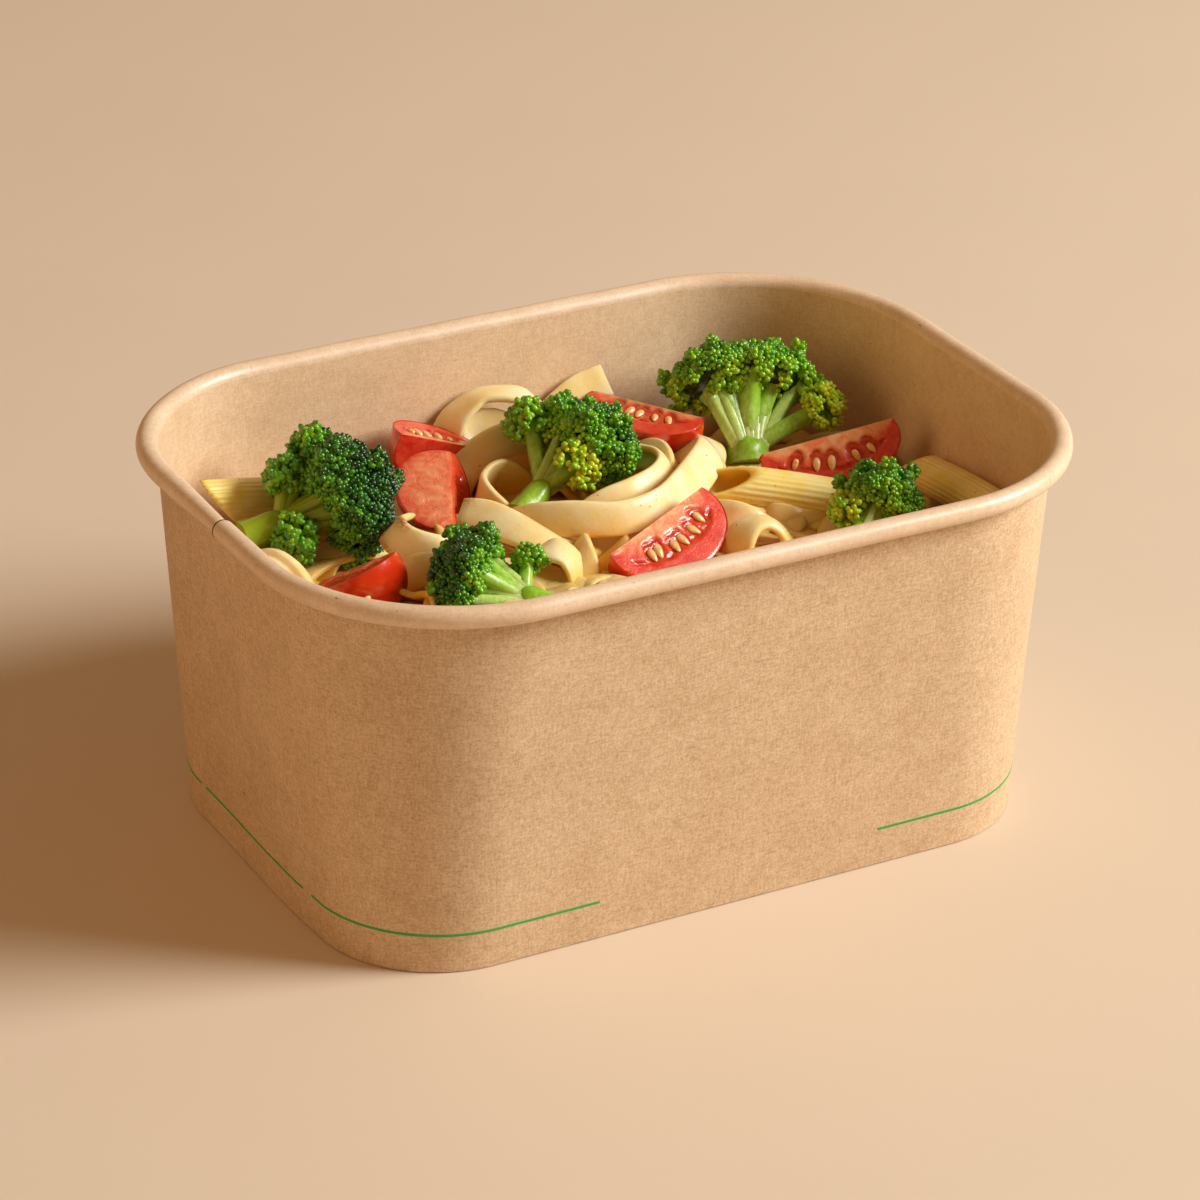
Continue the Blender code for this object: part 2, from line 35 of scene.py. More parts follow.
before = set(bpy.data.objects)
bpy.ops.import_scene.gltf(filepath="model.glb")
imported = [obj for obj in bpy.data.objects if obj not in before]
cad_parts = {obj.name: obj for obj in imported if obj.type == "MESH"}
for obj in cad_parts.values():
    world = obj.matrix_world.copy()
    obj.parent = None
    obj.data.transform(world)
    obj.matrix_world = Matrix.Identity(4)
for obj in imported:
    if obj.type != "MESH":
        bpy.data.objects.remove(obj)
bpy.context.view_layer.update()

# The tub, as in the solids.
RIM_LENGTH = 172.0
RIM_WIDTH = 125.0
RIM_CORNER = 40.5
BASE_LENGTH = 151.0
BASE_WIDTH = 103.0
BASE_CORNER = 24.5
HEIGHT = 80.0
PAPER = 0.5
GAP = 0.3
RIM_ROLL = 4.4
ROLL_END = -120.0
HEM_HEIGHT = 6.0
LAP_EDGE = -0.2
LAP_THINS = -0.7
LAP_SETTLES = 0.6
LAP_GAP = 0.022
CORE_FLOOR = 7.4
CORE_LEVEL = 45.5
CORE_CROWN = 5.5
CORE_WAVE = 0.9
RIBBON_WIDTH = 7.6
RIBBON_THICKNESS = 1.5
PENNE_RADIUS = 4.2
PENNE_WALL = 1.2
PENNE_SLANT = 1.35
PENNE_SLANTS = {"penne_right": 1.9}
PENNE_RADII = {"penne_right": 4.9}
WEDGE_SKEW = 0.2
WEDGE_ARC = math.radians(108)
CLUSTER_SHARE = 0.46
HEART_SHARE = 0.84

# Only drawn here. The pasta: ridges of a fluted ribbon, the low ribbons' number and field, and how far round a
# tomato's middle and how far below its corners they pass.
FLUTE_HEIGHT = 0.26
FILLERS = 88
FILLER_FIELD = (146, 100)
TOPPING_REACH = 15
TOPPING_CLEAR = 2.0
ANY_PHASE = 6.28
# The printed line's lower and upper edge, and how far it stands proud.
LINE_LOW = 7.95
LINE_HIGH = 8.55
LINE_PROUD = 0.05
# The broccoli: the spacing of its rosettes, how many degrees from its axis a crown goes, how wide the bare
# branches fan out and how many rosettes each carries, how high a bud may reach, and, for loose and tight
# rosettes, a bud's radius and how many degrees from the rosette's axis its buds go.
PITCH = 3.3
HIDDEN_PITCH = 3.7
CROWN_LIMIT = 112
FAN_SPREAD = 176
FAN_ROSETTES = 7
BUD_TOP = 73.2
LOOSE_BUD = (0.70, 100)
TIGHT_BUD = (0.60, 82)

CAMERA_TURN = -29.32
CAMERA_RISE = 26.27
CAMERA_ROLL = 1.016
CAMERA_TARGET = (2.675, 5.978, 39.267)
CAMERA_DISTANCE = 931.77
CAMERA_LENS = 140.43

# The course of each ribbon that shows, as (x, y, z, lean in degrees).
RIBBONS = (
    ((-9.5, 52, 48, 20), (-8, 53, 60, 10), (-3, 53, 65, 0), (2.5, 51, 66.5, 0), (8.5, 48, 65.5, 0),
     (15, 48, 59, -10), (19, 49, 47, -10)),
    ((5, 52, 47, 20), (13, 53, 56, 25), (21, 53, 61.5, 32), (29, 51.5, 64, 35)),
    ((-3, 45, 47, 60), (-3, 48.5, 58, 65), (0.5, 48, 60.5, 70), (6, 44, 56, 70), (8, 42, 48, 70)),
    ((-15, 38, 46, 50), (-11, 40.5, 55, 55), (-5.5, 41, 59, 62), (1, 41.5, 60.5, 65), (8, 42.5, 58.5, 62),
     (14, 43, 49, 55)),
    ((3, 35, 50, 60), (-4.5, 35, 56.5, 70), (-10, 32.5, 56, 80), (-12, 27, 55, 70), (-8, 20, 49, 50)),
    ((-17, 20.5, 48, 50), (-12.5, 13.5, 55.5, 60), (-5, 6.5, 58.5, 64), (4, 2, 58.5, 66), (14, 3, 58.5, 62),
     (23, 8.5, 58.5, 50), (32, 16.5, 58.5, 40), (38.5, 24.5, 57.5, 32), (41.5, 33, 55, 25), (39, 41, 50, 15)),
    ((-2, 13.5, 50, 60), (6, 11.5, 56, 62), (13, 11, 58, 62), (20, 13.5, 58.5, 58), (25, 18.5, 58.5, 48),
     (27, 25.5, 58.2, 32), (25, 32, 57.5, 20), (19.5, 37, 55, 12), (12, 39, 50, 10)),
    ((-21, 21, 57, 32), (-17.8, 16.8, 57.5, 32), (-15.2, 12, 57, 28), (-12, 7, 56, 18), (-8, 3.5, 54.6, 10),
     (-3, 3.5, 53, 8), (2, 7, 50.5, 5), (8, 13, 47, 5)),
    ((-33.5, 23, 57.8, 20), (-37.5, 18, 58.2, 45), (-37, 12.5, 57.4, 60), (-33, 8, 56.5, 62), (-26.5, 8, 55, 60),
     (-20, 10, 51, 50), (-14, 13, 47, 50)),
    ((-43, 13, 47, 50), (-38, 7.5, 53.5, 55), (-32, 5, 53.5, 55), (-25, 5, 47, 55)),
    ((-65.7, 32.5, 47, 10), (-64.5, 27.5, 52.5, 15), (-63.1, 22.5, 55.3, 20), (-61.7, 18, 55, 25),
     (-60.5, 14, 52.5, 28), (-59.7, 10.5, 47, 28)),
    ((-14, 6.7, 52, 0), (-14.5, 0.7, 56, 8), (-13, -2.6, 57.3, 8), (-10.8, -4.8, 56.5, 0), (-9.5, -6.8, 53.5, -5),
     (-9, -8.8, 49, -5)),
    ((-4, 5, 51.5, 45), (-6, 0.5, 54.8, 48), (-7.4, -3, 55, 38), (-8.2, -6.2, 53.3, 18), (-8.2, -8.7, 50.3, 6),
     (-8, -11, 46, 0)),
    ((4, 3.5, 51, 40), (1.5, -1.2, 53.6, 42), (-0.5, -4.2, 53.6, 36), (-2, -6.8, 51.6, 26), (-3, -9.2, 47.5, 18)),
    ((21.5, -13, 46, -10), (22.5, -12.2, 51.5, -10), (24.2, -11.2, 55.3, -10), (26.8, -10.3, 57.3, -12),
     (30, -10.3, 57.5, -12), (32.8, -11.3, 56, -10), (34.8, -12.8, 52.2, -10), (35.6, -14, 46.5, -10)),
    ((22, 12, 48, 40), (26.5, 3, 54, 40), (31, -3, 54, 45), (38, -6, 48, 45)),
    ((20, 36, 48, 40), (25, 29, 57, 45), (25, 21, 57, 50), (19, 13, 48, 50)),
    ((30, 37, 47, 40), (34.5, 29, 56, 40), (36, 22, 55.5, 45), (35, 13, 47, 45)),
    ((62, 36, 45, 30), (70, 28, 50.5, 30), (73, 19, 50.5, 30), (71, 9, 44, 30)),
)
# Where along a ribbon its edges are singed, and how far, by the ribbon's number; and the ribbons with ridges.
BROWNED = {7: (0.5, 3.0), 8: (8.5, 3.6)}
FLUTED = (10, 18)
# Loose turns over the rest of the heap, as (x, y, z, radius, first angle, sweep).
TURNS = (
    (-12, -24, 52.5, 12, 20, 230),
    (-24, -49, 50, 12, 150, 220),
    (31, -31, 52.5, 12, 100, 240),
    (62, -37, 50, 13, -60, 240),
    (-62, -41, 51.5, 12, 60, 230),
    (-48, -5, 53, 11, -30, 210),
    (46, 6, 50.5, 11, 150, 220),
    (-29, 28, 49, 10, 200, 230),
    (56, 0, 50.5, 11, -40, 220),
)
# The two ends of each tube, and the angle of its slanted cut.
PENNE = {
    "penne_back_left": ((-62.5, 45.0, 58.5), (-33.0, 50.0, 50.5), -70),
    "penne_right": ((31.5, 12.0, 56.3), (64.0, -5.8, 49.8), 100),
    "penne_right_wall": ((74.8, 5.0, 53.8), (74.6, -25.5, 56.6), 90),
    "penne_front_left": ((-40.5, -18.0, 53.5), (-43.0, -49.0, 53.0), 90),
}
# The two ends of each wedge's inner edge, a point of its skin on the first cut face, and the angle to the other.
WEDGES = {
    "tomato_back_left": ((-6.2, 41.7, 59.8), (-22.3, 43.7, 65.4), (-13.1, 53.4, 62.2), 90),
    "tomato_left": ((-20.4, 25.3, 52.0), (-15.2, 36.4, 63.0), (-28.4, 35.0, 58.4), -118),
    "tomato_front_left": ((-43.4, 4.5, 60.8), (-53.6, 15.0, 52.4), (-56.9, 2.2, 57.4), -90),
    "tomato_back": ((25.3, 50.7, 62.8), (39.8, 30.5, 61.7), (24.1, 34.6, 60.7), 65),
    "tomato_front": ((-3.3, -8.6, 57.0), (22.5, 0.9, 62.0), (17.0, -12.6, 53.0), 65),
    "tomato_right": ((45.8, 16.6, 58.0), (71.7, 8.5, 64.0), (63.2, 5.5, 52.8), 65),
    "tomato_near_left": ((-33.0, -30.0, 56.0), (-9.0, -41.0, 56.0), (-25.0, -44.0, 51.5), 65),
    "tomato_near_right": ((30.0, -44.0, 55.0), (54.0, -36.0, 57.0), (45.0, -48.5, 51.0), 65),
}
# The crown's middle, the stalk's foot and radius, the crown's radii, the number of its clusters, and the side
# crowns as (x, y, z, radius).
FLORETS = {
    "broccoli_left": ((-41.2, 31.4, 60.0), (-62.5, 33.0, 55.5), 3.6, (13.5, 13.5, 11.0), 9,
                      ((-54.0, 27.5, 56.0, 5.2), (-51.3, 37.3, 64.0, 4.8), (-44.3, 40.4, 69.0, 4.4))),
    "broccoli_centre": ((10.5, 29.0, 63.0), (-7.5, 21.0, 54.0), 2.9, (13.5, 9.5, 8.5), 9,
                        ((2.4, 35.5, 66.5, 5.4), (6.0, 22.0, 61.5, 5.2))),
    "broccoli_back_right": ((53.0, 37.5, 64.5), (48.5, 26.0, 51.0), 4.6, (16.5, 11.0, 8.0), 10,
                            ((65.5, 25.5, 61.0, 5.0),)),
    "broccoli_front": ((-31.5, -4.5, 57.0), (-20.0, -15.5, 51.5), 3.4, (11.0, 9.0, 8.0), 8,
                       ((-20.5, -6.5, 58.5, 3.6),)),
    "broccoli_right": ((55.5, -13.5, 58.0), (45.0, -20.0, 53.0), 2.8, (9.0, 8.5, 7.5), 8,
                       ((48.0, -13.5, 57.5, 4.4),)),
    "broccoli_near": ((8.5, -38.0, 54.5), (15.0, -26.0, 50.0), 3.4, (11.5, 10.0, 8.0), 8, ()),
    "broccoli_near_left": ((-61.0, -24.5, 54.5), (-52.0, -18.0, 50.5), 3.0, (9.5, 8.5, 7.0), 8, ()),
}
# The two cut faces of each wedge: seeds in the gel, or 0 for gel alone, or None for plain flesh; between which
# shares of the way to the skin the gel lies; and how pale the flesh is, partly its pale heart and partly painted
# light, as on tomato_right, whose first face lies in shade and is made paler to look lit.
FACES = {
    "tomato_back_left": ((5, 0.36, 0.70, 0.9), (None, 0.4, 0.7, 0.0)),
    "tomato_left": ((None, 0.4, 0.7, 0.8), (1, 0.42, 0.72, 0.3)),
    "tomato_front_left": ((0, 0.34, 0.80, 0.7), (4, 0.4, 0.7, 0.6)),
    "tomato_back": ((5, 0.26, 0.58, 0.9), (5, 0.4, 0.7, 0.6)),
    "tomato_front": ((6, 0.36, 0.66, 1.0), (5, 0.4, 0.7, 0.6)),
    "tomato_right": ((5, 0.42, 0.68, 1.7), (4, 0.4, 0.7, 0.6)),
    "tomato_near_left": ((6, 0.40, 0.72, 0.8), (5, 0.4, 0.7, 0.8)),
    "tomato_near_right": ((5, 0.40, 0.72, 0.8), (5, 0.4, 0.7, 0.8)),
}
# The side where a floret's buds leave its branches bare: a direction, half the angle it takes, and branches there.
BARE = {
    "broccoli_back_right": ((-0.30, -0.92, -0.25), 66, 8),
    "broccoli_centre": ((-0.85, -0.45, -0.40), 58, 4),
    "broccoli_left": ((-0.95, -0.10, -0.30), 50, 3),
    "broccoli_front": ((0.55, -0.80, 0.10), 60, 5),
    "broccoli_right": ((-0.60, -0.70, -0.40), 40, 3),
    "broccoli_near": ((0.50, 0.80, 0.05), 55, 4),
    "broccoli_near_left": ((0.80, 0.50, 0.05), 52, 4),
}
# How much lighter a floret's buds are, partly their own colour and partly painted light and shade that differ
# from floret to floret; and how olive its stalk is.
SHADES = {
    "broccoli_left": (-0.05, 0.9), "broccoli_centre": (0.18, 0.35), "broccoli_back_right": (0.31, 0.0),
    "broccoli_front": (0.06, 0.0), "broccoli_right": (0.16, 0.2), "broccoli_near": (0.08, 0.1),
    "broccoli_near_left": (0.08, 0.1),
}
# How far up its stalk a floret branches, where that isn't the usual share.
FORKS = {"broccoli_back_right": 0.2}
# The side crowns that are turning yellow, by number.
YELLOWED = {"broccoli_centre": (1,), "broccoli_back_right": (0,), "broccoli_right": (0,)}


# Shapes.

UP = Vector((0, 0, 1))
GOLDEN_TURN = math.pi * (3 - math.sqrt(5))
HEX_AREA = 0.866  # The area of a place in a close packing, over its pitch squared.


def clamp(value):
    return min(max(value, 0.0), 1.0)


def shares(steps):
    """Even shares from 0 to 1, both included."""
    return [step / steps for step in range(steps + 1)]


def jitter(draw, amount):
    return Vector([draw.uniform(-amount, amount) for k in range(3)])


def sides_of(along):
    """The level direction across an axis, and the one that rises from both."""
    level = UP.cross(along).normalized()
    return level, along.cross(level)


def add_object(name, data):
    item = bpy.data.objects.new(name, data)
    bpy.context.scene.collection.objects.link(item)
    return item


class Piece:
    """Collects points and faces in millimetres, with values for each point."""

    def __init__(self):
        self.points, self.loops, self.sizes, self.slots = [], [], [], []
        self.values = {"tone": [], "mask": [], "edge": []}
        self.count = 0

    def add_faces(self, faces, slot=0):
        self.loops.append(faces.ravel())
        self.sizes.append(np.full(len(faces), faces.shape[1]))
        self.slots.append(np.full(len(faces), slot))

    def add(self, points, faces, slot=0, **values):
        points = np.asarray(points, float).reshape(-1, 3)
        self.add_faces(np.asarray(faces, np.int64) + self.count, slot)
        self.points.append(points)
        for name, lists in self.values.items():
            lists.append(np.broadcast_to(np.asarray(values.get(name, 0.0), float), (len(points),)))
        self.count += len(points)

    def build(self, name, materials, slot, nodes=(), sharp=None):
        mesh = bpy.data.meshes.new(name)
        points = np.concatenate(self.points) * MM
        loops = np.concatenate(self.loops)
        sizes = np.concatenate(self.sizes)
        mesh.vertices.add(len(points))
        mesh.vertices.foreach_set("co", points.ravel().astype(np.float32))
        mesh.loops.add(len(loops))
        mesh.loops.foreach_set("vertex_index", loops.astype(np.int32))
        mesh.polygons.add(len(sizes))
        starts = np.concatenate(([0], np.cumsum(sizes)[:-1]))
        mesh.polygons.foreach_set("loop_start", starts.astype(np.int32))
        mesh.polygons.foreach_set("material_index", np.concatenate(self.slots).astype(np.int32))
        mesh.update(calc_edges=True)
        for value_name, lists in self.values.items():
            data = mesh.attributes.new(value_name, "FLOAT", "POINT").data
            data.foreach_set("value", np.concatenate(lists).astype(np.float32))
        for material in materials:
            mesh.materials.append(material)
        mesh.shade_smooth()
        if sharp:
            mesh.set_sharp_from_angle(angle=math.radians(sharp))
        item = add_object(name, mesh)
        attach(item, "root")
        if nodes:
            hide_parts(*nodes)


def grid_faces(rows, columns, around=False, closed=False):
    """Quads of a grid of points: around joins each row's ends, closed joins the last row to the first."""
    row = np.arange(rows if closed else rows - 1)[:, None]
    column = np.arange(columns if around else columns - 1)[None, :]
    after = (row + 1) % rows
    beside = (column + 1) % columns
    quads = np.stack(np.broadcast_arrays(row * columns + column, row * columns + beside,
                                         after * columns + beside, after * columns + column), -1)
    return quads.reshape(-1, 4)


def fan(count, flip=False):
    """Triangles that close a ring of points from its first one."""
    faces = np.array([(0, i, i + 1) for i in range(1, count - 1)])
    return faces[:, ::-1] if flip else faces


def sphere(levels):
    """Points and triangles of a unit icosphere."""
    t = (1 + 5 ** 0.5) / 2
    points = [Vector(point).normalized() for a in (-1, 1) for b in (-t, t)
              for point in ((a, b, 0), (0, a, b), (b, 0, a))]
    near = 1.2
    faces = [face for face in combinations(range(12), 3)
             if all((points[i] - points[j]).length < near for i, j in combinations(face, 2))]
    faces = [(a, b, c) if points[a].cross(points[b]).dot(points[c]) > 0 else (a, c, b) for a, b, c in faces]
    for level in range(levels):
        middles, split = {}, []
        for a, b, c in faces:
            between_ = []
            for key in ((a, b), (b, c), (c, a)):
                key = tuple(sorted(key))
                if key not in middles:
                    middles[key] = len(points)
                    points.append((points[key[0]] + points[key[1]]).normalized())
                between_.append(middles[key])
            ab, bc, ca = between_
            split += [(a, ab, ca), (b, bc, ab), (c, ca, bc), (ab, bc, ca)]
        faces = split
    return np.array(points), np.array(faces)


def bud_shape(sides=6):
    """A unit bud that swells from its stem to a round tip: points and triangles."""
    rings = ((-1.0, 0.5), (-0.05, 1.0), (0.62, 0.74))
    points = []
    for number, (z, radius) in enumerate(rings):
        for k in range(sides):
            angle = math.tau * (k + 0.5 * (number % 2)) / sides
            points.append((radius * math.cos(angle), radius * math.sin(angle), z))
    points.append((0, 0, 1.0))
    faces = []
    for a, b, c, d in grid_faces(len(rings), sides, around=True):
        faces += [(a, b, c), (a, c, d)]
    last = (len(rings) - 1) * sides
    faces += [(last + k, last + (k + 1) % sides, len(points) - 1) for k in range(sides)]
    return np.array(points), np.array(faces)


def add_buds(piece, buds):
    """Buds given as (centre, radius, axis, stretch, spin, tone at the tip, tone at the stem)."""
    unit, faces = bud_shape()
    centres = np.array([b[0] for b in buds])
    axes = np.array([b[2] for b in buds])
    radius, stretch, spin, tip, stem = np.array([(b[1], *b[3:]) for b in buds]).T
    helper = np.where(np.abs(axes[:, 2:]) < 0.8, np.array([[0, 0, 1.0]]), np.array([[1.0, 0, 0]]))
    first = np.cross(helper, axes)
    first /= np.linalg.norm(first, axis=1, keepdims=True)
    second = np.cross(axes, first)
    cos, sin = np.cos(spin)[:, None], np.sin(spin)[:, None]
    first, second = cos * first + sin * second, cos * second - sin * first
    x, y, z = unit.T
    points = (x[None, :, None] * first[:, None] + y[None, :, None] * second[:, None]
              + (z[None] * stretch[:, None])[..., None] * axes[:, None])
    points = centres[:, None] + radius[:, None, None] * points
    share = np.clip((z + 1.0) / 1.7, 0, 1)[None]
    tones = stem[:, None] * (1 - share) + tip[:, None] * share
    many = faces[None] + (np.arange(len(buds)) * len(unit))[:, None, None]
    piece.add(points, many.reshape(-1, 3), tone=tones.ravel())


def tube(piece, centres, radii, sides, tone, ridges=0.0, mask=0.0, caps=False):
    """A round tube through the centres."""
    rows = []
    normal = None
    count = len(centres)
    for i, centre in enumerate(centres):
        along = (centres[min(i + 1, count - 1)] - centres[max(i - 1, 0)]).normalized()
        if normal is None:
            normal = along.orthogonal().normalized()
        normal = (normal - normal.dot(along) * along).normalized()
        other = along.cross(normal)
        for k in range(sides):
            angle = math.tau * k / sides
            reach = radii[i] * (1 + ridges * math.cos(5 * angle + 0.6 * i))
            rows.append(centre + reach * (math.cos(angle) * normal + math.sin(angle) * other))
    piece.add(rows, grid_faces(count, sides, around=True), tone=np.repeat(tone, sides), mask=mask)
    if caps:
        piece.add(rows[:sides], fan(sides, True), tone=tone[0], mask=mask)
        piece.add(rows[-sides:], fan(sides), tone=tone[-1], mask=mask)


# Materials.

class Look:
    """One material and its nodes. Lengths in its noises are in millimetres."""

    def __init__(self, name):
        self.material = bpy.data.materials.new(name)
        self.material.use_nodes = True
        self.tree = self.material.node_tree

    def put(self, socket, value):
        """Links or sets a socket. A colour is given as red, green and blue."""
        if isinstance(value, bpy.types.NodeSocket):
            self.tree.links.new(value, socket)
        else:
            socket.default_value = (*value, 1.0) if socket.type == "RGBA" else value

    def node(self, kind, inputs, output=0, **settings):
        made = self.tree.nodes.new(kind)
        for key, value in settings.items():
            setattr(made, key, value)
        for key, value in inputs.items():
            self.put(made.inputs[key], value)
        return made.outputs[output]

    def noise(self, scale, detail=3.0, rough=0.5, distort=0.0, stretch=(1, 1, 1), turn=(0, 0, 0)):
        """Noise over the object's own coordinates, stretched and turned."""
        here = self.node("ShaderNodeTexCoord", {}, "Object")
        here = self.node("ShaderNodeMapping", {"Vector": here, "Scale": [s / MM for s in stretch],
                                               "Rotation": turn})
        return self.node("ShaderNodeTexNoise", {"Vector": here, "Scale": scale, "Detail": detail,
                                                "Roughness": rough, "Distortion": distort}, "Fac")

    def value(self, name):
        """One of the values that a piece has at each point."""
        return self.node("ShaderNodeAttribute", {}, "Fac", attribute_name=name)

    def ramp(self, value, *stops):
        """Colours at places along a value."""
        color = self.node("ShaderNodeValToRGB", {"Fac": value})
        elements = color.node.color_ramp.elements
        while len(elements) < len(stops):
            elements.new(0.5)
        for element, (at, shade) in zip(elements, stops):
            element.position = at
            element.color = (*shade, 1.0)
        return color

    def span(self, value, low, high, start=0.0, end=1.0):
        """A value stretched from one range to another and clamped."""
        return self.node("ShaderNodeMapRange", {"Value": value, "From Min": low, "From Max": high,
                                                "To Min": start, "To Max": end}, "Result", clamp=True)

    def plus(self, a, b):
        return self.node("ShaderNodeMath", {0: a, 1: b}, operation="ADD")

    def times(self, a, b):
        return self.node("ShaderNodeMath", {0: a, 1: b}, operation="MULTIPLY")

    def average(self, a, b):
        return self.times(self.plus(a, b), 0.5)

    def mix(self, share, a, b, kind="MIX"):
        """Mixes two colours."""
        return self.node("ShaderNodeMix", {0: share, 6: a, 7: b}, 2, data_type="RGBA", blend_type=kind)

    def finish(self, color, rough, gloss=0.5, depth=(), coat=(), relief=()):
        """Sets the shader: depth is the weight of the light that goes in, its reaches and their scale, coat a
        weight and a roughness, and relief a height, its strength and its distance.
        """
        values = {"Base Color": color, "Roughness": rough, "Specular IOR Level": gloss}
        if depth:
            values["Subsurface Weight"], values["Subsurface Radius"], scale = depth
            values["Subsurface Scale"] = scale * MM
        values.update(zip(("Coat Weight", "Coat Roughness"), coat))
        if relief:
            height, strength, distance = relief
            values["Normal"] = self.node("ShaderNodeBump", {"Height": height, "Strength": strength,
                                                            "Distance": distance * MM})
        for key, value in values.items():
            self.put(self.tree.nodes["Principled BSDF"].inputs[key], value)
        return self.material


def kraft(name, light, dark, rough, gloss):
    """Kraft board: pressed fibres, soft mottling and a few dark specks."""
    look = Look(name)
    fibres = look.average(look.noise(1.0, 3.0, 0.6, 0.4, (0.45, 0.45, 2.6), (0.5, 0.2, 0.0)),
                          look.noise(1.0, 3.0, 0.6, 0.4, (2.2, 2.2, 0.5), (-0.4, 0.3, 0.2)))
    value = look.average(fibres, look.noise(2.4, 4.0, 0.65))
    color = look.ramp(value, (0.40, dark), (0.58, light))
    cloud = look.average(look.noise(0.09), look.noise(0.42, 3.0, 0.6))
    tint = look.ramp(cloud, (0.38, (0.91, 0.88, 0.84)), (0.6, (1.0, 1.0, 1.0)))
    color = look.mix(1.0, color, tint, "MULTIPLY")
    speck = look.noise(1.0, 2.0, 0.5, 1.2, (0.5, 0.5, 1.1), (0.9, 0.4, 0.7))
    color = look.mix(look.span(speck, 0.735, 0.77, 0.0, 0.55), color, (0.16, 0.08, 0.035))
    return look.finish(color, rough, gloss, relief=(value, 0.35, 0.05))


def cooked_pasta(name, light, dark, deep, reach):
    """Cooked pasta: tone paints an amber shade, mask the brown of a singed edge."""
    look = Look(name)
    fine = look.noise(1.6, 3.0, 0.6)
    color = look.ramp(look.noise(0.22), (0.35, dark), (0.65, light))
    color = look.mix(look.span(fine, 0.3, 0.75, 0.0, 0.22), color, (0.96, 0.84, 0.60))
    # Painted shade: the tone takes the pasta towards the amber of its shade.
    color = look.mix(look.times(look.value("tone"), 0.95), color, deep)
    specks = look.noise(0.85, 2.0, 0.4)
    color = look.mix(look.span(specks, 0.745, 0.78, 0.0, 0.75), color, (0.30, 0.09, 0.015))
    browned = look.times(look.value("mask"), look.span(fine, 0.38, 0.52, 0.2, 1.0))
    color = look.mix(browned, color, (0.46, 0.14, 0.015))
    wet = look.plus(look.noise(0.55, 3.0, 0.6), look.times(fine, 0.25))
    return look.finish(color, 0.42, 0.4, (0.35, (1.0, 0.85, 0.6), reach), (0.16, 0.2), (wet, 0.35, 0.25))


def broccoli_bud():
    """Broccoli buds: tone runs from deep green to yellow green."""
    look = Look("broccoli_bud")
    tone = look.plus(look.value("tone"), look.span(look.noise(0.35), 0.3, 0.7, -0.1, 0.1))
    color = look.ramp(tone, (0.0, (0.001, 0.022, 0.001)), (0.25, (0.009, 0.10, 0.002)),
                      (0.5, (0.09, 0.31, 0.004)), (0.75, (0.25, 0.52, 0.008)), (1.0, (0.58, 0.64, 0.014)))
    return look.finish(color, 0.3, 0.12, (0.05, (0.5, 1.0, 0.2), 0.8), (1.0, 0.16),
                       (look.noise(3.0, 2.0), 0.25, 0.15))


def broccoli_stalk():
    """Broccoli stalks: tone runs from the bright green branches to the pale cut base, mask to olive."""
    look = Look("broccoli_stalk")
    streak = look.noise(1.0, 3.0, 0.55, stretch=(1.2, 1.2, 0.35))
    tone = look.plus(look.value("tone"), look.span(streak, 0.3, 0.7, -0.14, 0.14))
    color = look.ramp(tone, (0.0, (0.08, 0.24, 0.005)), (0.5, (0.28, 0.52, 0.022)), (1.0, (0.66, 0.84, 0.28)))
    color = look.mix(look.value("mask"), color, (0.28, 0.36, 0.006))
    return look.finish(color, 0.28, depth=(0.25, (0.6, 1.0, 0.25), 1.6), relief=(streak, 0.3, 0.2))


def tomato_skin():
    look = Look("tomato_skin")
    color = look.ramp(look.noise(0.12, 2.0), (0.35, (0.56, 0.016, 0.003)), (0.65, (0.76, 0.055, 0.006)))
    return look.finish(color, 0.2, 0.5, (0.2, (1.0, 0.25, 0.1), 1.5), (0.7, 0.06), (look.noise(0.5), 0.12, 0.15))


def tomato_flesh():
    """Cut tomato: mask marks the gel and edge the pale heart, which on faces in shade also holds painted light."""
    look = Look("tomato_flesh")
    gel = look.value("mask")
    veins = look.noise(0.45, 4.0, 0.6, 0.8)
    wall = look.ramp(veins, (0.35, (0.66, 0.026, 0.008)), (0.65, (0.80, 0.085, 0.030)))
    pale = look.ramp(veins, (0.35, (0.88, 0.25, 0.085)), (0.65, (0.95, 0.52, 0.24)))
    wet = look.ramp(veins, (0.35, (0.52, 0.020, 0.006)), (0.7, (0.76, 0.10, 0.024)))
    color = look.mix(look.span(look.value("edge"), 0.1, 0.9, 0.0, 0.85), wall, pale)
    color = look.mix(gel, color, wet)
    height = look.plus(look.times(look.noise(2.8, 3.0, 0.6), 0.7), veins)
    return look.finish(color, look.span(gel, 0.0, 1.0, 0.34, 0.12), 0.5, (0.5, (1.0, 0.3, 0.15), 2.4), (0.5, 0.08),
                       (height, 0.4, 0.35))


def tomato_seed():
    look = Look("tomato_seed")
    color = look.ramp(look.noise(0.9, 2.0), (0.3, (0.82, 0.38, 0.11)), (0.65, (0.94, 0.60, 0.27)))
    return look.finish(color, 0.25, 0.5, (0.2, (1.0, 0.2, 0.1), 1.0), (0.6, 0.06))


def plain(name, color, rough):
    look = Look(name)
    return look.finish(look.ramp(look.noise(0.02), (0.3, [c * 0.985 for c in color]), (0.7, color)), rough)


